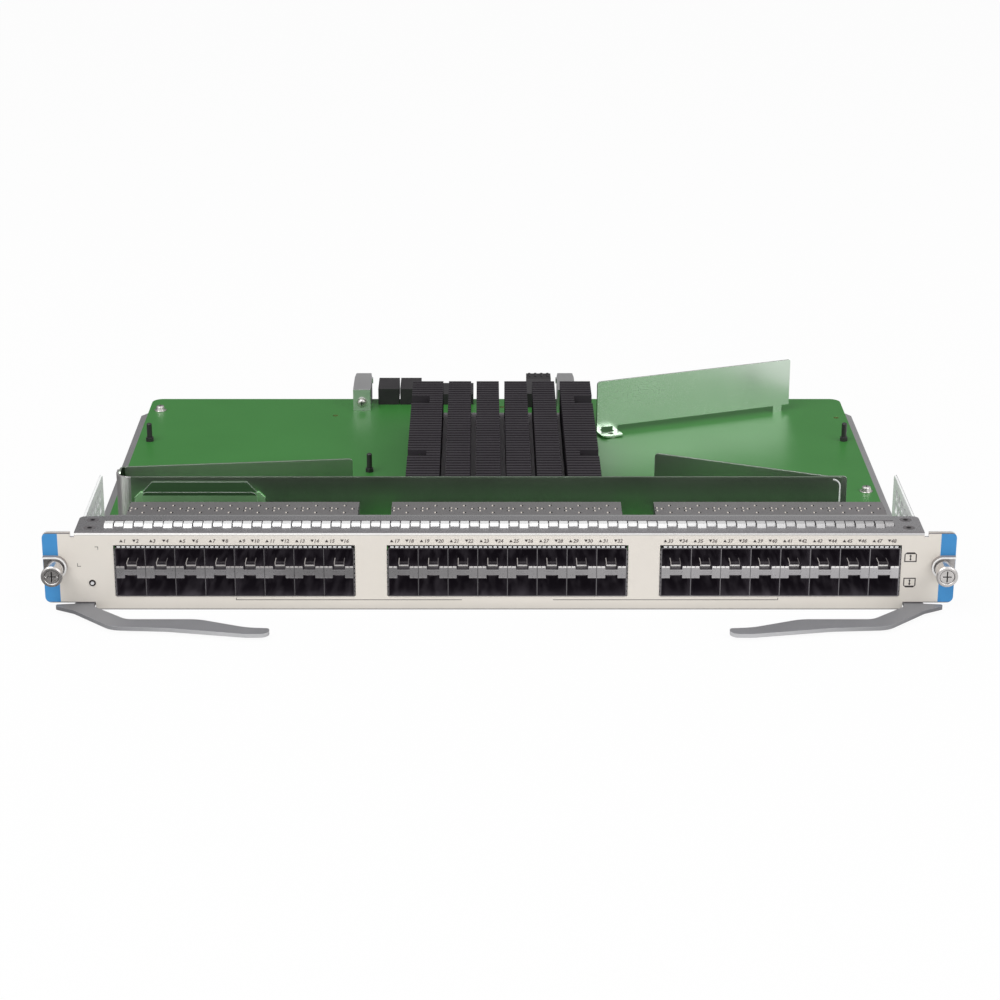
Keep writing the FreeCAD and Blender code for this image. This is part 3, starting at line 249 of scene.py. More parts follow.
class Finish:
    """One procedural material: a shader, its fixed values and the nodes behind the rest."""

    def __init__(self, name, fixed):
        self.material = bpy.data.materials.new(name)
        self.material.use_nodes = True
        self.tree = self.material.node_tree
        self.shader = self.tree.nodes["Principled BSDF"]
        for socket, value in fixed.items():
            self.shader.inputs[socket].default_value = value

    def node(self, kind, settings, inputs, output=0):
        """Add any node; settings go on it first, then values or links into its sockets."""
        made = self.tree.nodes.new(kind)
        for name, value in settings.items():
            setattr(made, name, value)
        for socket, value in inputs.items():
            if isinstance(value, Signal):
                self.tree.links.new(value.socket, made.inputs[socket])
            else:
                made.inputs[socket].default_value = value
        return Signal(self, made.outputs[output])

    def feed(self, socket, signal):
        """Link a signal into one of the shader's sockets."""
        self.tree.links.new(signal.socket, self.shader.inputs[socket])

    def place(self):
        """Where a point is on the piece at rest, as three signals in metres."""
        spot = self.node("ShaderNodeTexCoord", {}, {}, "Object")
        return spot, [self.node("ShaderNodeSeparateXYZ", {}, {0: spot}, i) for i in range(3)]

    def lengths(self, front=front_face):
        """Depth, height and x of a point in millimetres, as three signals."""
        _, (x, y, z) = self.place()
        return y * 1000 - front, z * 1000, x * 1000

    def facing(self, axis):
        """How far the surface faces along x, y or z of the piece."""
        normal = self.node("ShaderNodeTexCoord", {}, {}, "Normal")
        return self.node("ShaderNodeSeparateXYZ", {}, {0: normal}, "xyz".index(axis))

    def noise(self, size, detail=2.0, stretch=(1, 1, 1)):
        """Noise with features of about that size in millimetres, stretched along an axis."""
        spot, _ = self.place()
        scaled = self.node(
            "ShaderNodeMapping", {}, {"Vector": spot, "Scale": tuple(1 / s for s in stretch)}
        )
        return self.node(
            "ShaderNodeTexNoise", {}, {"Vector": scaled, "Scale": 1000 / size, "Detail": detail}
        )

    def ramp(self, signal, low, high, start=0.0, end=1.0):
        """The signal turned from low..high into start..end, and held there beyond."""
        return self.node(
            "ShaderNodeMapRange", {"clamp": True}, {0: signal, 1: low, 2: high, 3: start, 4: end}
        )

    def mix(self, factor, first, second):
        """Colour between two colours."""
        return self.node(
            "ShaderNodeMix", {"data_type": "RGBA"}, {0: factor, 6: first, 7: second}, 2
        )

    def drift(self, noise, first, second):
        """Colour that drifts with a noise between two that are close."""
        return self.mix(self.ramp(noise, 0.3, 0.7), first, second)

    def roughness(self, noise, low, high):
        """Roughness that drifts with a noise between two values."""
        self.feed("Roughness", self.ramp(noise, 0.3, 0.7, low, high))

    def edge_normal(self, radius):
        """Direction with every edge eased over a radius in millimetres."""
        return self.node("ShaderNodeBevel", {"samples": 4}, {"Radius": radius / 1000})

    def edge_wear(self, radius):
        """1 on the edges and 0 away from them."""
        flat = self.node("ShaderNodeNewGeometry", {}, {}, "Normal")
        eased = self.edge_normal(radius)
        dot = {"operation": "DOT_PRODUCT"}
        alike = self.node("ShaderNodeVectorMath", dot, {0: flat, 1: eased}, 1)
        return self.ramp(alike, 0.995, 0.86)

    def bump(self, height, depth, edge=0.0):
        """Relief of a depth in millimetres, over eased edges if a radius is given."""
        inputs = {"Strength": 1.0, "Distance": depth / 1000, "Height": height}
        if edge:
            inputs["Normal"] = self.edge_normal(edge)
        self.feed("Normal", self.node("ShaderNodeBump", {}, inputs))


def sheet_steel(name, colour, light, roughness, foot=None, bend=False):
    """Plated sheet steel with a fine rolled grain; handling has polished its edges.

    A foot colour, if given, is a painted reflection of the board that fades in from a baffle's top
    edge down to the board, with a painted highlight on its left bend. The inside of the left bend
    between two baffles can get painted shade.
    """
    finish = Finish(name, {"Metallic": 0.97})
    cloud = finish.noise(70, 2)
    grain = finish.noise(0.5, 2, (1, 1, 0.6))
    body = finish.mix(finish.ramp(cloud, 0.35, 0.65), colour, light)
    if foot:
        _, height, x = finish.lengths()
        # Painted reflection of the green board, growing down towards the board
        body = finish.mix(finish.ramp(height, baffle_top - 2, baffle_top - 11), body, foot)
        # Painted highlight on the front baffle's left bend
        body = finish.mix(x < baffle_bend_x, body, shade(250, 246, 246))
    if bend:
        _, _, x = finish.lengths()
        # Painted shade on the inside of the left bend
        inside = (x < baffle_bend_x - 2) * (finish.facing("x") > 0.15)
        body = finish.mix(inside, body, shade(72, 84, 72))
    worn = finish.edge_wear(0.25)
    speckle = finish.ramp(grain, 0.3, 0.7, 0.0, 0.08)
    speckled = finish.mix(speckle, body, shade(215, 214, 216))
    finish.feed("Base Color", finish.mix(worn * 0.3, speckled, shade(252, 252, 252)))
    uneven = finish.ramp(cloud, 0.3, 0.7, roughness - 0.015, roughness + 0.015)
    fine = finish.ramp(grain, 0.3, 0.7, -0.01, 0.015)
    finish.feed("Roughness", uneven + fine - worn * 0.05)
    finish.bump(grain, 0.0015, 0.12)
    return finish.material


def bracket_finish():
    """Hood bracket on the front baffle: painted reflection of the board before it, painted shade on
    its slope.
    """
    finish = Finish("bracket_steel", {"Specular IOR Level": 0.3})
    grain = finish.noise(0.5, 2)
    cloud = finish.noise(40, 2)
    _, height, _ = finish.lengths()
    sloped = height > hood_slope_z
    # Painted reflection of the green board below the slope; painted shade on the slope
    lower = finish.drift(cloud, shade(148, 196, 144), shade(156, 204, 152))
    body = finish.mix(sloped, lower, shade(56, 84, 55))
    # Pale edges: wear, and a painted highlight along them
    finish.feed("Base Color", finish.mix(finish.edge_wear(0.3), body, shade(236, 236, 238)))
    finish.feed("Metallic", 0.45 - sloped * 0.4)
    finish.roughness(grain, 0.32, 0.4)
    finish.bump(grain, 0.0015, 0.12)
    return finish.material


def ear_finish():
    """Pale passivated zinc on the perforated ears, lighter where the sheet was sheared."""
    finish = Finish("ear_steel", {"Metallic": 0.0, "Specular IOR Level": 0.2})
    cloud = finish.noise(22, 3)
    grain = finish.noise(0.4, 2)
    body = finish.drift(cloud, shade(234, 236, 235), shade(244, 246, 245))
    finish.feed("Base Color", finish.mix(finish.edge_wear(0.3) * 0.6, body, shade(254, 254, 254)))
    finish.feed("Roughness", finish.ramp(grain, 0.25, 0.75, 0.42, 0.54))
    finish.bump(grain, 0.006, 0.2)
    return finish.material


def faceplate_finish():
    """Cream powder coat in front, blue at both ends, bare steel behind and on the flange."""
    finish = Finish("panel_paint", {"Specular IOR Level": 0.35})
    depth, height, x = finish.lengths()
    forward = finish.facing("y")
    cloud = finish.noise(60, 2)
    peel = finish.noise(0.35, 2)
    wide = abs(x)
    front = forward < -0.9
    cream = finish.drift(cloud, shade(222, 216, 207), shade(226, 220, 212))
    # Painted shade: the cream darkens towards the bottom edge
    cream = finish.mix(finish.ramp(height, 5, 0), cream, shade(204, 199, 191))
    blue = finish.drift(cloud, shade(62, 138, 198), shade(70, 146, 206))
    painted = finish.mix((wide > card_half - blue_end) * front, cream, blue)
    lower_edge = (height < 0.45) + (height < raised_bottom) * (wide > bottom_half)
    upper_edge = (height > card_height - 0.7) * (wide > flange_half)
    beside_cages = in_bands(x, [(low.x - 0.6, high.x + 0.6) for low, high in cage_boxes])
    rims = beside_cages * within(height, window_bottom + 0.4, window_top)
    painted = finish.mix((lower_edge + upper_edge) * front, painted, shade(122, 117, 118))
    painted = finish.mix(rims * front, painted, shade(84, 80, 80))
    # Painted highlight and shade on the top fold: a greyish band, then a pale line that greys
    # towards the right, then a grey line at the top
    bend = (height > card_height - 1.7) * (wide < flange_half)
    painted = finish.mix(bend, painted, shade(200, 196, 190))
    painted_fold_highlight = finish.mix(finish.ramp(x, -150, 200), shade(246, 245, 242), shade(198, 197, 197))
    painted = finish.mix(bend * (height > card_height - 1.3), painted, painted_fold_highlight)
    painted = finish.mix(bend * (height > card_height - 0.45), painted, shade(112, 109, 112))
    steel = finish.drift(cloud, shade(216, 214, 217), shade(224, 222, 225))
    on_flange = (depth > 1.0) * (height > flange_underside)
    cut_edge = (depth > 0.05) * (height < flange_underside)
    window = (wide < windows_half) * within(height, window_bottom, window_top) * cut_edge
    slot_wall = on_flange * (forward < -0.5) * (depth > 5)
    # Painted shade: the window walls and the front wall of the flange's slot are dark and not
    # metallic
    dark = (window + slot_wall) > 0.5
    bare = on_flange + cut_edge
    finish.feed("Base Color", finish.mix(dark, finish.mix(bare, painted, steel), shade(60, 56, 60)))
    finish.feed("Metallic", bare - dark)
    finish.feed("Roughness", finish.ramp(peel, 0.3, 0.7, 0.42, 0.52) - on_flange * 0.18)
    finish.bump(peel, 0.006, 0.12)
    return finish.material


def across_column(x):
    """How far a point is to the right of its own port column's centre."""
    starts = [
        within(x, low.x, high.x) * start for (low, high), start in zip(cage_boxes, column_start)
    ]
    return (x - sum(starts)) % port_pitch - port_pitch / 2


def slanted(across, height, start, top, slope, bottom):
    """1 on a slanted line of a separator."""
    aside = abs(across - start - (top - height) * slope)
    return (aside < slant_half) * within(height, bottom, top)


def port_light(finish, streak):
    """Painted glow standing in for the little light that the sheets of a port pass on between them,
    in faint streaks.
    """
    return finish.mix(finish.ramp(streak, 0.45, 0.75), shade(15, 12, 16), shade(40, 37, 41))


def cage_finish():
    """Cage sheet: plated outside with formed spots over each column and painted glints on them;
    painted shade and a faint painted glow in the ports.
    """
    finish = Finish("cage_steel", {"Emission Strength": 1.0})
    depth, height, x = finish.lengths()
    grain = finish.noise(0.5, 2)
    cloud = finish.noise(20, 2)
    streak = finish.noise(3.5, 2, (1, 6, 6))
    across = across_column(x)
    top = (finish.facing("z") > 0.9) * (height > cage_top - 0.3)
    hole = glint = 0.0
    for spot_across, spot_depth, hole_side in cage_spots:
        hole_near = abs(across - spot_across - hole_side * 0.8)
        hole = (hole_near < 0.3) * (abs(depth - spot_depth) < 0.8) + hole
        glint = (abs(across - spot_across) < 0.33) * (abs(depth - spot_depth) < 0.9) + glint
    hole *= top
    glint *= top
    front = (finish.facing("y") < -0.9) * (depth < -0.1)
    plated = finish.drift(cloud, shade(184, 180, 182), shade(192, 188, 190))
    # Painted shade in the ports: dark and not metallic, in faint streaks
    painted_port_shade = finish.mix(finish.ramp(streak, 0.35, 0.7), shade(50, 46, 51), shade(70, 66, 71))
    body = finish.mix(top, painted_port_shade, plated)
    body = finish.mix(front, body, shade(166, 163, 166))
    body = finish.mix(hole, body, shade(58, 54, 58))
    # Glints: painted highlights on the formed spots, pale and not metallic
    finish.feed("Base Color", finish.mix(glint, body, shade(214, 205, 196)))
    finish.feed("Metallic", 0.2 + 0.8 * (top + front) - glint)
    # Painted glow in the ports; top and front faces have none
    finish.feed("Emission Color", finish.mix(top + front, port_light(finish, streak), black))
    finish.roughness(grain, 0.3, 0.4)
    finish.bump(grain * 0.02 - hole, 0.15)
    return finish.material


def separator_finish():
    """Sheet box between upper and lower port: painted highlights on its ribs, sprung tongues and
    edges, painted shade in its grooves and inside, and a faint painted glow inside.
    """
    finish = Finish("separator_steel", {"Emission Strength": 1.0})
    depth, height, x = finish.lengths()
    grain = finish.noise(0.5, 2)
    cloud = finish.noise(20, 2)
    streak = finish.noise(3.5, 2, (1, 6, 6))
    across = across_column(x)
    aside = abs(across)
    front = depth < -0.1
    middle = aside < separator_middle
    on_right = x > cage_boxes[2][0].x
    ribs = in_bands(height, rib_bands) * middle
    grooves = in_bands(height, groove_bands) * middle
    rib = front * (ribs + slanted(across, height, *slanted_rib) * (1.0 - on_right))
    groove = front * (grooves + slanted(across, height, *slanted_groove) * on_right)
    edge = front * (height > upper_edge_height) * in_bands(aside, upper_edge_bands)
    low_edge = front * (height < lower_edge_height) * (aside > separator_middle)
    low_edge *= 1.0 - within(aside, *lower_edge_gap)
    at_lip = within(depth, *lip_depth)
    lip = (aside < upper_lip_half) * at_lip * within(height, *upper_lip_height)
    low_lip = (aside < lower_lip_half) * at_lip * within(height, *lower_lip_height)
    tongue = height > tongue_height
    arms = tongue * within(aside, *tongue_arm) * within(depth, *tongue_arm_depth)
    cross = tongue * (aside < tongue_arm[0]) * within(depth, *tongue_cross_depth)
    metal = finish.drift(cloud, shade(234, 231, 233), shade(244, 241, 243))
    # Painted highlight on the upper edges and the upper lip, paler towards the right
    light = finish.mix(finish.ramp(x, -120, 120), shade(168, 164, 163), shade(244, 242, 240))
    # Painted glow on the tongue's arms, brighter left of the column's centre
    painted_arm_glow = finish.mix(across > 0, shade(160, 155, 152), shade(96, 92, 92))
    # Painted shade inside the port: dark and not metallic; painted shade in the grooves on the
    # front
    body = finish.mix(front, shade(40, 36, 41), metal)
    body = finish.mix(groove, body, shade(206, 202, 205))
    # Painted light: the tongue's cross line and the lower lip are paler than the painted shade
    # around them
    body = finish.mix(cross + low_lip, body, shade(118, 113, 116))
    finish.feed("Base Color", finish.mix(edge + lip, body, light))
    # Edges, and a little of the ribs and lower edges, lose their metal, so they show as pale
    # painted highlights
    finish.feed("Metallic", front - edge - rib * 0.06 - low_edge * 0.12)
    finish.roughness(grain, 0.27, 0.33)
    finish.bump(grain, 0.001)
    # Painted glow inside the port, with more of it on the arms, the cross line and the lip
    faint = finish.mix(arms, port_light(finish, streak), painted_arm_glow)
    faint = finish.mix(cross, faint, shade(72, 68, 70))
    faint = finish.mix(lip, faint, shade(112, 110, 109))
    finish.feed("Emission Color", finish.mix(front, faint, black))
    return finish.material


def board_finish():
    """Green solder mask over the weave of the laminate, darker over the copper planes."""
    finish = Finish("board_green", {"Specular IOR Level": 0.42})
    weave = finish.noise(0.7, 3)
    plane = finish.noise(45, 3)
    mask = finish.mix(finish.ramp(plane, 0.35, 0.65), shade(54, 122, 52), shade(57, 126, 55))
    fine = finish.mix(finish.ramp(weave, 0.3, 0.7, 0.0, 0.2), mask, shade(66, 132, 62))
    edge = abs(finish.facing("z")) < 0.5
    finish.feed("Base Color", finish.mix(edge, fine, shade(112, 128, 78)))
    finish.roughness(weave, 0.32, 0.4)
    finish.feed("Coat Weight", finish.ramp(plane, 0.3, 0.7, 0.0, 0.02))
    finish.bump(weave, 0.003)
    return finish.material


def sink_finish():
    """Black anodised aluminium with fine saw marks along its fins; painted light makes the channel
    floors pale.
    """
    finish = Finish("sink_anodised", {"Metallic": 0.0, "Specular IOR Level": 0.3})
    saw = finish.noise(0.5, 2, (1, 12, 1))
    cloud = finish.noise(30, 2)
    worn = finish.edge_wear(0.2)
    body = finish.drift(cloud, shade(44, 40, 45), shade(50, 46, 51))
    _, height, _ = finish.lengths()
    # Painted light: the channel floors are made pale to make up for the shade between the fins
    channel_floor = (height < sink_base_top + 0.3) * (finish.facing("z") > 0.7)
    body = finish.mix(channel_floor, body, shade(168, 163, 168))
    finish.feed("Base Color", finish.mix(worn * 0.22, body, shade(112, 108, 112)))
    finish.roughness(saw, 0.48, 0.6)
    finish.bump(saw, 0.008, 0.12)
    return finish.material


def moulded(name, colour, light, roughness=0.45):
    """Moulded plastic with a fine spark-eroded texture."""
    finish = Finish(name, {"Specular IOR Level": 0.45})
    grain = finish.noise(0.3, 2)
    cloud = finish.noise(9, 2)
    worn = finish.edge_wear(0.15)
    body = finish.drift(cloud, colour, light)
    finish.feed("Base Color", finish.mix(worn * 0.4, body, shade(96, 94, 97)))
    finish.roughness(grain, roughness - 0.06, roughness + 0.08)
    finish.bump(grain, 0.01, 0.15)
    return finish.material


def gasket_finish():
    """Spring fingers round a cage: a painted highlight where they bend over the top, painted shade
    below it and at the sides.
    """
    finish = Finish("cage_gasket", {"Metallic": 0.1})
    _, height, _ = finish.lengths()
    drawn = finish.noise(0.35, 2, (1, 10, 1))
    # Painted highlight on the band over the cage's top; painted shade on the rest, a lighter grey
    # at the sides
    bright = within(height, cage_top + 0.2, cage_top + 0.95)
    side = height < cage_top - 0.2
    body = finish.mix(bright, shade(70, 66, 68), shade(246, 246, 246))
    body = finish.mix(side, body, shade(112, 108, 110))
    lines = finish.ramp(drawn, 0.3, 0.7) * 0.15
    finish.feed("Base Color", finish.mix(lines, body, shade(150, 150, 152)))
    finish.roughness(drawn, 0.24, 0.36)
    finish.bump(drawn, 0.004, 0.12)
    return finish.material


def spring_finish():
    """Bright plated spring strip, drawn along the fingers; a painted reflection greys it towards
    the right.
    """
    finish = Finish("spring_fingers", {"Metallic": 0.15})
    drawn = finish.noise(0.35, 2, (1, 10, 1))
    cloud = finish.noise(15, 2)
    worn = finish.edge_wear(0.2)
    _, _, x = finish.lengths()
    # Painted reflection: white on the left, grey towards the right, with a little random tone
    along = finish.ramp(x, 70, 195) * 0.9 + finish.ramp(cloud, 0.3, 0.7, 0.0, 0.1)
    body = finish.mix(along, shade(243, 243, 243), shade(160, 158, 159))
    finish.feed("Base Color", finish.mix(worn * 0.2, body, shade(180, 180, 182)))
    finish.roughness(drawn, 0.2, 0.32)
    finish.bump(drawn, 0.004, 0.12)
    return finish.material


def screw_finish():
    """Turned and nickel-plated steel; on the captive screws painted shade darkens the drive and its
    groove.
    """
    finish = Finish("screw_steel", {})
    depth, height, x = finish.lengths()
    turned = finish.noise(0.2, 2, (1, 0.15, 1))
    cloud = finish.noise(5, 2)
    across = abs(x) - knob_x
    up = height - knob_z
    out = (across * across + up * up) ** 0.5
    # Painted shade in the drive and its groove: dark and not metallic
    walls = (depth > knob_face - 0.13) * (out < drive_radius) + within(out, *knob_groove)
    drive = (depth < knob_face + drive_depth) * walls
    body = finish.drift(cloud, shade(206, 202, 200), shade(222, 218, 216))
    body = finish.mix(finish.edge_wear(0.2) * 0.4, body, shade(246, 246, 246))
    finish.feed("Base Color", finish.mix(drive, body, shade(52, 48, 49)))
    finish.feed("Metallic", 0.88 - drive * 0.88)
    finish.roughness(turned, 0.18, 0.3)
    finish.bump(turned, 0.006, 0.18)
    return finish.material


def collar_finish():
    """Steel collars round the captive screws: a painted highlight on the rim, painted shade on
    their outside.
    """
    finish = Finish("screw_collar", {})
    depth, height, x = finish.lengths()
    forward = finish.facing("y")
    turned = finish.noise(0.2, 2, (1, 0.15, 1))
    across = abs(x) - knob_x
    up = height - knob_z
    out = (across * across * (across < 0) + up * up) ** 0.5
    # Painted highlight on the rim, painted shade on the outside, both not metallic
    rim = (forward < -0.9) * (depth < collar_face)
    outside = (forward > -0.5) * (out > collar_outside)
    body = finish.drift(turned, shade(176, 173, 172), shade(190, 187, 186))
    body = finish.mix(outside, body, shade(140, 133, 130))
    finish.feed("Base Color", finish.mix(rim, body, shade(246, 245, 244)))
    finish.feed("Metallic", 0.9 - 0.9 * (rim + outside))
    finish.roughness(turned, 0.24, 0.36)
    finish.bump(turned, 0.006, 0.15)
    return finish.material


def screw_head_finish():
    """Plated screw head whose cross-shaped drive is dark with painted shade."""
    finish = Finish("screw_head", {})
    cross, _, along = finish.lengths(0.0)
    turned = finish.noise(0.2, 2, (1, 0.15, 1))
    cross, along = abs(cross), abs(along)
    # Painted shade in the cross-shaped drive, which is only a bump
    drive = (cross < head_slot_half) * (along < head_slot_reach)
    drive += (cross < head_slot_reach) * (along < head_slot_half)
    body = finish.drift(turned, shade(198, 195, 192), shade(220, 217, 214))
    finish.feed("Base Color", finish.mix(drive, body, shade(34, 31, 33)))
    finish.feed("Metallic", 0.9 - drive * 0.9)
    finish.roughness(turned, 0.22, 0.34)
    finish.bump(turned * 0.02 - drive, 0.2)
    return finish.material


def flange_screw_finish():
    """Dull grey countersunk screws whose drive in their middle is black with painted shade."""
    finish = Finish("flange_screw", {"Specular IOR Level": 0.1})
    depth, _, x = finish.lengths()
    grain = finish.noise(0.3, 2)
    across = abs(x) - flange_screw_x
    along = abs(depth - flange_screw_depth) - flange_screw_row
    out = (across * across + along * along) ** 0.5
    # Painted shade in the drive
    drive = out < flange_drive_radius
    body = finish.drift(grain, shade(102, 99, 101), shade(110, 107, 109))
    body = finish.mix(out > flange_head_radius, body, shade(92, 89, 91))
    finish.feed("Base Color", finish.mix(drive, body, shade(12, 10, 12)))
    finish.feed("Metallic", 0.1 - drive * 0.1)
    finish.roughness(grain, 0.34, 0.46)
    finish.bump(grain * 0.05 - drive, 0.2)
    return finish.material


def lever_finish():
    """Grey powder coat on cast metal, whose sides get painted light towards the card's middle and
    painted shade at their outer ends.
    """
    finish = Finish("lever_metal", {"Metallic": 0.2})
    peel = finish.noise(0.45, 3)
    cloud = finish.noise(35, 2)
    body = finish.drift(cloud, shade(129, 129, 132), shade(138, 138, 141))
    _, _, x = finish.lengths()
    # Painted light and shade on the sides: pale towards the card's middle, darker at the outer ends
    side = finish.mix(finish.ramp(abs(x), 130, 205), shade(196, 196, 198), shade(118, 118, 121))
    body = finish.mix(abs(finish.facing("z")) < 0.5, body, side)
    finish.feed("Base Color", finish.mix(finish.edge_wear(0.3) * 0.5, body, shade(196, 196, 198)))
    finish.roughness(peel, 0.46, 0.6)
    finish.bump(peel, 0.02, 0.3)
    return finish.material


def light_finish():
    """Clear light guide, with a black ring round its lens."""
    finish = Finish("light_guide", {"Specular IOR Level": 0.6})
    _, height, x = finish.lengths()
    out = ((x - light_x) ** 2.0 + (height - light_z) ** 2.0) ** 0.5
    frost = finish.noise(0.5, 2)
    lens = finish.drift(frost, shade(196, 196, 198), shade(232, 232, 234))
    finish.feed("Base Color", finish.mix(out > light_lens, lens, shade(40, 36, 38)))
    finish.roughness(frost, 0.15, 0.3)
    finish.bump(frost, 0.01)
    return finish.material


def ink_finish(name, colour, light):
    """Screen-printed ink, a little uneven."""
    finish = Finish(name, {"Specular IOR Level": 0.3})
    grain = finish.noise(0.25, 2)
    finish.feed("Base Color", finish.mix(finish.ramp(grain, 0.35, 0.65), colour, light))
    finish.roughness(grain, 0.5, 0.65)
    finish.bump(grain, 0.003)
    return finish.material


finishes = {
    "panel_paint": faceplate_finish(),
    "plated_steel": sheet_steel("plated_steel", shade(234, 234, 235), shade(246, 246, 247), 0.28),
    "cage_steel": cage_finish(),
    "spring_fingers": spring_finish(),
    "board_green": board_finish(),
    "sink_anodised": sink_finish(),
    "chip_body": moulded("chip_body", shade(30, 29, 31), shade(40, 39, 41)),
    "connector_black": moulded("connector_black", shade(34, 31, 34), shade(42, 39, 42)),
    "post_black": moulded("post_black", shade(38, 36, 38), shade(48, 46, 48), 0.35),
    "screw_steel": screw_finish(),
    "lever_metal": lever_finish(),
    "light_guide": light_finish(),
    "bracket_steel": bracket_finish(),
    "separator_steel": separator_finish(),
    "cage_gasket": gasket_finish(),
    "screw_collar": collar_finish(),
    "screw_head": screw_head_finish(),
    "flange_screw": flange_screw_finish(),
    "ear_steel": ear_finish(),
}
# Baffle steels: their green tints are a painted reflection of the board, and their lighter and
# darker bases are painted light and shade, one for each baffle; the front baffle's last colour is
# its painted reflection towards the foot
sheets = (
    ("guide_metal", shade(228, 228, 229), shade(240, 240, 241), 0.32),
    ("front_baffle_steel", shade(145, 168, 142), shade(152, 176, 149), 0.3, shade(192, 240, 188)),
    ("side_baffle_steel", shade(200, 214, 197), shade(208, 222, 205), 0.3),
    ("right_baffle_steel", shade(186, 202, 184), shade(194, 210, 192), 0.3),
    ("rear_baffle_steel", shade(216, 232, 216), shade(226, 241, 226), 0.26),
    ("tray_steel", shade(226, 225, 227), shade(234, 233, 235), 0.3),
)
for name, *values in sheets:
    bend = name in ("front_baffle_steel", "side_baffle_steel")
    finishes[name] = sheet_steel(name, *values, bend=bend)
ink_dark = ink_finish("print_dark", shade(56, 50, 50), shade(72, 66, 66))
ink_grey = ink_finish("print_grey", shade(98, 91, 90), shade(112, 104, 102))

# Every node takes its record slot's finish, apart from these
slot_of_node = {part["node"]: part["material_slot"] for part in frame["record"]["subparts"]}
special_finish = {
    "side_ear_left": "ear_steel",
    "side_ear_right": "ear_steel",
    "flange_screws": "flange_screw",
    "front_baffle": "front_baffle_steel",
    "left_baffle": "side_baffle_steel",
    "right_baffle": "right_baffle_steel",
    "diagonal_baffle": "rear_baffle_steel",
    "baffle_bracket": "bracket_steel",
    "carrier_tray": "tray_steel",
    "screw_collar_left": "screw_collar",
    "screw_collar_right": "screw_collar",
}
for side in cage_sides:
    special_finish["cage_separators_" + side] = "separator_steel"
    special_finish["cage_gasket_" + side] = "cage_gasket"

for name, thing in nodes.items():
    material = finishes[special_finish.get(name, slot_of_node[name])]
    thing.data.materials.clear()
    thing.data.materials.append(material)


def new_piece(name, mesh, material, body="card", place=(0, 0, 0), tilt=0.0):
    """Put a mesh in the scene as a piece that rides on a body."""
    piece = bpy.data.objects.new(name, mesh)
    piece.location = place
    piece.rotation_euler.x = tilt
    bpy.context.scene.collection.objects.link(piece)
    piece.data.materials.clear()
    piece.data.materials.append(material)
    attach(piece, body)
    return piece


class Print:
    """Flat shapes that face the front, such as print on the faceplate, in one thin mesh."""

    def __init__(self, front=-print_depth, back=0.0):
        self.mesh = bmesh.new()
        self.front = front
        self.back = back

    def polygon(self, points):
        """A closed shape given as (x, z), as a thin plate."""
        front = [self.mesh.verts.new(at(x, self.front, z)) for x, z in points]
        back = [self.mesh.verts.new(at(x, self.back, z)) for x, z in points]
        self.mesh.faces.new(front)
        for i in range(len(points)):
            j = (i + 1) % len(points)
            self.mesh.faces.new((front[j], front[i], back[i], back[j]))

    def bar(self, x0, x1, z0, z1):
        """An upright rectangle."""
        self.polygon(((x0, z0), (x1, z0), (x1, z1), (x0, z1)))

    def ring(self, x, z, inner, outer, sides=40):
        """A ring between two radii."""
        for i in range(sides):
            a, b = (2 * math.pi * k / sides for k in (i, i + 1))
            self.polygon(
                (
                    (x + inner * math.cos(a), z + inner * math.sin(a)),
                    (x + outer * math.cos(a), z + outer * math.sin(a)),
                    (x + outer * math.cos(b), z + outer * math.sin(b)),
                    (x + inner * math.cos(b), z + inner * math.sin(b)),
                )
            )

    def finish(self, name, material=ink_dark, body="card"):
        """Turn what was drawn into a piece."""
        bmesh.ops.recalc_face_normals(self.mesh, faces=self.mesh.faces)
        data = bpy.data.meshes.new(name)
        self.mesh.to_mesh(data)
        self.mesh.free()
        return new_piece(name, data, material, body)


def beside(x, offsets, number):
    """Where a mark for a port goes: further out if the port's number has two digits."""
    return x + offsets[len(str(number)) - 1]


def port_triangles():
    """An up or a down triangle before each port's number."""
    marks = Print()
    half = triangle_width / 2
    low = number_z - triangle_height / 2
    high = number_z + triangle_height / 2
    for column, x in enumerate(port_centres):
        up = beside(x, up_triangle, 2 * column + 1)
        down = beside(x, down_triangle, 2 * column + 2)
        marks.polygon(((up - half, low), (up + half, low), (up, high)))
        marks.polygon(((down - half, high), (down, low), (down + half, high)))
    return marks.finish("port_triangles")


def port_numbers():
    """The ports counted across the card, odd above and even below."""
    outlines = []
    for column, x in enumerate(port_centres):
        for offsets, number in ((odd_number, 2 * column + 1), (even_number, 2 * column + 2)):
            text = bpy.data.curves.new("port_number", "FONT")
            text.body = str(number)
            text.size = number_height * font_to_digit / 1000
            text.extrude = print_depth / 1000
            text.offset = stroke_gain / 1000
            text.shear = number_slant
            text.resolution_u = 3
            place = bpy.data.objects.new("port_number", text)
            place.location = at(beside(x, offsets, number), 0.0, number_z - number_height / 2)
            place.rotation_euler = (math.pi / 2, 0, 0)
            bpy.context.scene.collection.objects.link(place)
            outlines.append(place)
    bpy.context.view_layer.update()
    joined = bmesh.new()
    for place in outlines:
        data = bpy.data.meshes.new_from_object(place)
        data.transform(place.matrix_world)
        joined.from_mesh(data)
        bpy.data.meshes.remove(data)
        bpy.data.objects.remove(place)
    data = bpy.data.meshes.new("port_numbers")
    joined.to_mesh(data)
    joined.free()
    return new_piece("port_numbers", data, ink_grey)


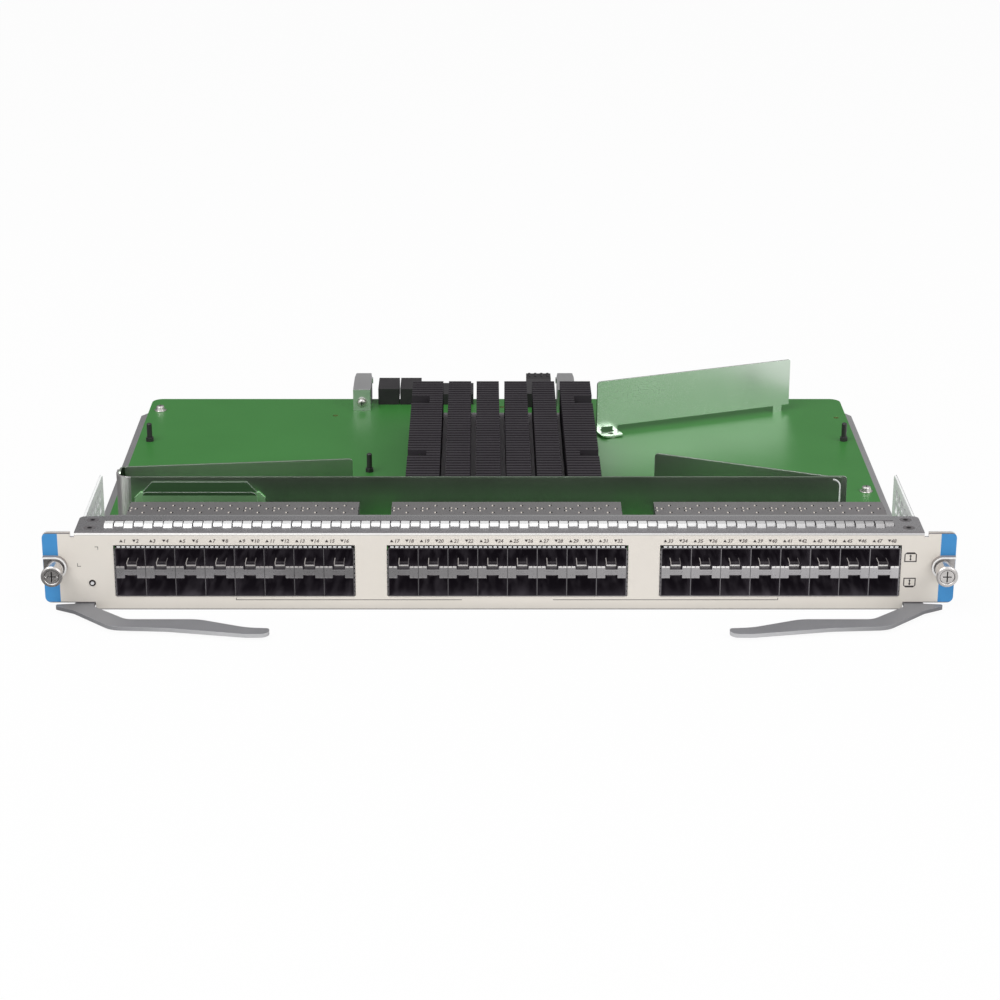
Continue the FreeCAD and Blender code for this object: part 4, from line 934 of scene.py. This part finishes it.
def panel_lines():
    """Thin line under the ports, in two runs with an upturned end each, and two corner marks."""
    marks = Print()
    thick = 0.28
    low = 4.9
    for outer, inner in ((-126.7, -17.9), (134.3, 25.9)):
        side = 1 if outer < inner else -1
        marks.bar(*sorted((outer, inner)), low, low + thick)
        marks.bar(*sorted((outer, outer + side * thick)), low, low + 1.2)
    for corner_mark in (
        (-193.4, -191.8, 32.3, 32.55),
        (-192.05, -191.8, 31.0, 32.4),
        (-202.2, -200.5, 22.3, 22.55),
        (-202.2, -201.95, 22.4, 24.0),
    ):
        marks.bar(*corner_mark)
    return marks.finish("panel_lines")


def lever_symbols():
    """Two square symbols that show which way the levers go."""
    marks = Print()
    line = 0.5
    half = 2.95
    reach = 2.45
    chamfer = 1.0
    inner = half - line
    for x, z, way in ((196.9, 27.1, 1), (197.05, 14.0, -1)):
        base = z - way * reach
        shoulder = z + way * (reach - chamfer)
        for side in (-1, 1):
            outer_x = x + side * half
            inner_x = x + side * inner
            marks.polygon(
                ((outer_x, base), (inner_x, base), (inner_x, shoulder), (outer_x, shoulder))
            )
            tip_x = x + side * (half - chamfer)
            tip_z = z + way * reach
            marks.polygon(
                (
                    (outer_x, shoulder),
                    (inner_x, shoulder),
                    (tip_x - side * line, tip_z - way * line),
                    (tip_x, tip_z - way * 0.1),
                )
            )
        marks.bar(x - half, x + half, *sorted((base, base + way * line)))
        lever = sorted((z + way * (reach - 0.85), z + way * (reach + 0.05)))
        marks.bar(x - half + chamfer, x + half - chamfer, *lever)
        marks.bar(x - 0.26, x + 0.26, *sorted((z - way * 1.3, z + way * 0.6)))
        head = z + way * 0.45
        marks.polygon(((x - 0.65, head), (x + 0.65, head), (x, head + way * 1.05)))
        marks.ring(x, z - way * 1.2, 0.0001, 0.45, 12)
    return marks.finish("lever_symbols")


def light_surround():
    """Black ring printed round the status light."""
    marks = Print()
    marks.ring(light_x, light_z, *light_ring)
    return marks.finish("light_surround")


def quarter_turn(steps):
    """Angles from 0 to 90 degrees in equal steps."""
    return [math.pi / 2 * i / steps for i in range(steps + 1)]


def front_baffle_hem():
    """Pale folded edge near the front baffle's right end, rounded into its top edge."""
    marks = Print(baffle_front - 0.12, baffle_front)
    x, foot, top, radius, width = 174.3, 7.2, 35.6, 4.0, 0.7
    marks.bar(x - width, x, foot, top - radius)

    def on_arc(reach, angle):
        return x - radius + reach * math.cos(angle), top - radius + reach * math.sin(angle)

    steps = quarter_turn(8)
    for a, b in zip(steps, steps[1:]):
        inner = radius - width
        marks.polygon([on_arc(radius, a), on_arc(radius, b), on_arc(inner, b), on_arc(inner, a)])
    piece = marks.finish("front_baffle_hem", finishes["ear_steel"])


def window_corner_foam():
    """Black foam behind the upper corners of the windows, beside the cages' spring fingers."""
    blocks = Print(1.6, 2.6)
    bottom, top = cage_top + 0.1, cage_top + 1.6
    for low, high in cage_boxes:
        blocks.bar(low.x - 1.0, low.x + 0.9, bottom, top)
        blocks.bar(high.x - 0.9, high.x + 1.0, bottom, top)
    blocks.finish("window_corner_foam", finishes["connector_black"])


def turned(profile, sides=48):
    """Mesh of a turned surface about local z, its profile given as (radius, height)."""
    mesh = bmesh.new()
    rings = []
    for radius, height in profile:
        angles = [2 * math.pi * i / sides for i in range(sides)]
        points = [Vector((radius * math.cos(a), radius * math.sin(a), height)) for a in angles]
        rings.append([mesh.verts.new(point / 1000) for point in points])
    for lower, upper in zip(rings, rings[1:]):
        for i in range(sides):
            j = (i + 1) % sides
            mesh.faces.new((lower[i], lower[j], upper[j], upper[i]))
    bmesh.ops.remove_doubles(mesh, verts=mesh.verts, dist=1e-7)
    bmesh.ops.recalc_face_normals(mesh, faces=mesh.faces)
    for face in mesh.faces:
        face.smooth = True
    data = bpy.data.meshes.new("turned")
    mesh.to_mesh(data)
    mesh.free()
    return data


def knob_face_pieces(side, body):
    """Rounded rim and cross-slotted middle on the front of a captive screw's knob."""
    x = side * knob_x
    rim = turned(((3.55, -0.1), (3.55, 0.35), (3.75, 0.5), (4.75, 0.5), (5.1, 0.2), (5.1, -0.1)))
    name = body.replace("screw", "knob")
    front = at(x, knob_face, knob_z)
    piece = new_piece(name + "_rim", rim, finishes["screw_steel"], body, front, math.pi / 2)
    middle = Print(knob_face - 0.15, knob_face)
    radius, slot, tall, broad = 3.4, 0.3, 2.8, 2.1
    for across in (-1, 1):
        for up in (-1, 1):
            corners = [(slot, tall), (slot, slot), (broad, slot), (broad, 0)]
            corners += [(radius * math.cos(a), radius * math.sin(a)) for a in quarter_turn(12)]
            corners.append((0, tall))
            middle.polygon([(x + across * u, knob_z + up * v) for u, v in corners])
    middle.finish(name + "_middle", finishes["screw_steel"], body)


def screw_heads():
    """Domed heads over the pan-head screws and over those in the guide blocks."""
    profile = [(head_radius, -0.05)]
    profile += [(head_radius * math.cos(a), head_rise * math.sin(a)) for a in quarter_turn(6)]
    dome = turned(profile, 32)

    def put(name, place, tilt=0.0):
        mesh = dome.copy()
        piece = new_piece(name, mesh, finishes["screw_head"], place=at(*place), tilt=tilt)

    places = [(*place, board_screw_z) for place in board_screws]
    places += [(*place, tab_screw_z) for place in tab_screws]
    for i, place in enumerate(places):
        put("screw_dome_%d" % i, place)
    for i, x in enumerate(guide_screws):
        put("guide_dome_%d" % i, (x, guide_screw_depth, guide_screw_z), math.pi / 2)


port_triangles()
port_numbers()
panel_lines()
lever_symbols()
light_surround()
front_baffle_hem()
window_corner_foam()
knob_face_pieces(-1, "screw_left")
knob_face_pieces(1, "screw_right")
screw_heads()

# Camera at the photograph's place: level sideways, looking down on the card
camera_data = bpy.data.cameras.new("camera")
camera_data.sensor_width = 36.0
camera_data.lens = 93.42
camera_data.shift_x = 0.017
camera_data.clip_start = 0.05
camera_data.clip_end = 20.0
camera = bpy.data.objects.new("camera", camera_data)
camera.location = (-0.00778, -1.2908, 0.48897)
camera.rotation_euler = (math.radians(90 - 20.56), 0.0, 0.0)
bpy.context.scene.collection.objects.link(camera)
bpy.context.scene.camera = camera


def seen_by(finish):
    """1 for the camera, for mirrored rays and for rays through clear parts, one signal each."""
    kinds = ("Camera", "Glossy", "Transmission")
    return [finish.node("ShaderNodeLightPath", {}, {}, "Is " + kind + " Ray") for kind in kinds]


def make_floor():
    """Pale studio floor, white to the camera, that keeps the card's shadow."""
    plane = bmesh.new()
    bmesh.ops.create_grid(plane, x_segments=8, y_segments=8, size=6.0)
    data = bpy.data.meshes.new("studio_floor")
    plane.to_mesh(data)
    plane.free()
    floor = bpy.data.objects.new("studio_floor", data)
    floor.location.z = -0.0004
    bpy.context.scene.collection.objects.link(floor)
    fixed = {"Base Color": (0.8, 0.8, 0.8, 1.0), "Roughness": 0.9, "Specular IOR Level": 0.0}
    finish = Finish("studio_floor", fixed)
    _, (x, _, _) = finish.place()
    camera_ray, mirrored, through = seen_by(finish)
    mirrored_light = finish.ramp(x, -0.07, 0.14, 0.11, 0.42) + finish.ramp(x, 0.19, 0.23, 0.0, 0.4)
    level = camera_ray + through + mirrored * mirrored_light
    light = finish.mix(level, black, white)
    glow = finish.node("ShaderNodeEmission", {}, {"Color": light, "Strength": 1.0})
    shader = Signal(finish, finish.shader.outputs[0])
    seen = camera_ray + mirrored + through
    both = finish.node("ShaderNodeMixShader", {}, {0: seen * 0.95, 1: shader, 2: glow})
    output = finish.tree.nodes["Material Output"]
    finish.tree.links.new(both.socket, output.inputs["Surface"])
    floor.data.materials.append(finish.material)


class Surroundings(Finish):
    """The studio round the card, built like a finish."""

    def __init__(self, name):
        world = bpy.data.worlds.new(name)
        world.use_nodes = True
        bpy.context.scene.world = world
        self.tree = world.node_tree
        self.shader = self.tree.nodes["Background"]

    def direction(self):
        """Which way a ray goes, as three signals."""
        way = self.node("ShaderNodeTexCoord", {}, {}, "Generated")
        return [self.node("ShaderNodeSeparateXYZ", {}, {0: way}, i) for i in range(3)]


def make_world():
    """White to the camera; mirrored bright in front and overhead and dark at the rear."""
    studio = Surroundings("studio")
    x, y, z = studio.direction()
    camera_ray, mirrored, through = seen_by(studio)
    towards_front = z - y * 0.6
    rear = studio.ramp(x, -0.3, 0.3, 0.12, 0.3)
    rise = studio.ramp(towards_front, -0.1, 0.6)
    mirrored_light = rear + rise * (0.95 - rear)
    others = 1.0 - camera_ray - mirrored - through
    level = camera_ray + through + mirrored * mirrored_light + others * world_light
    studio.feed("Color", studio.mix(level, black, white))


def soft_lamp(name, place, aim, size, power):
    """Large square lamp, turned towards a point."""
    data = bpy.data.lights.new(name, "AREA")
    data.size = size
    data.energy = power
    lamp = bpy.data.objects.new(name, data)
    lamp.location = place
    lamp.rotation_euler = (Vector(aim) - Vector(place)).to_track_quat("-Z", "Y").to_euler()
    bpy.context.scene.collection.objects.link(lamp)


make_floor()
make_world()
soft_lamp("key_lamp", (-0.9, -1.0, 1.6), (0, 0, 0), 1.4, 24.0)
soft_lamp("fill_lamp", (1.2, -0.9, 1.1), (0, 0, 0), 1.2, 11.0)

bpy.context.scene.view_settings.view_transform = "Standard"
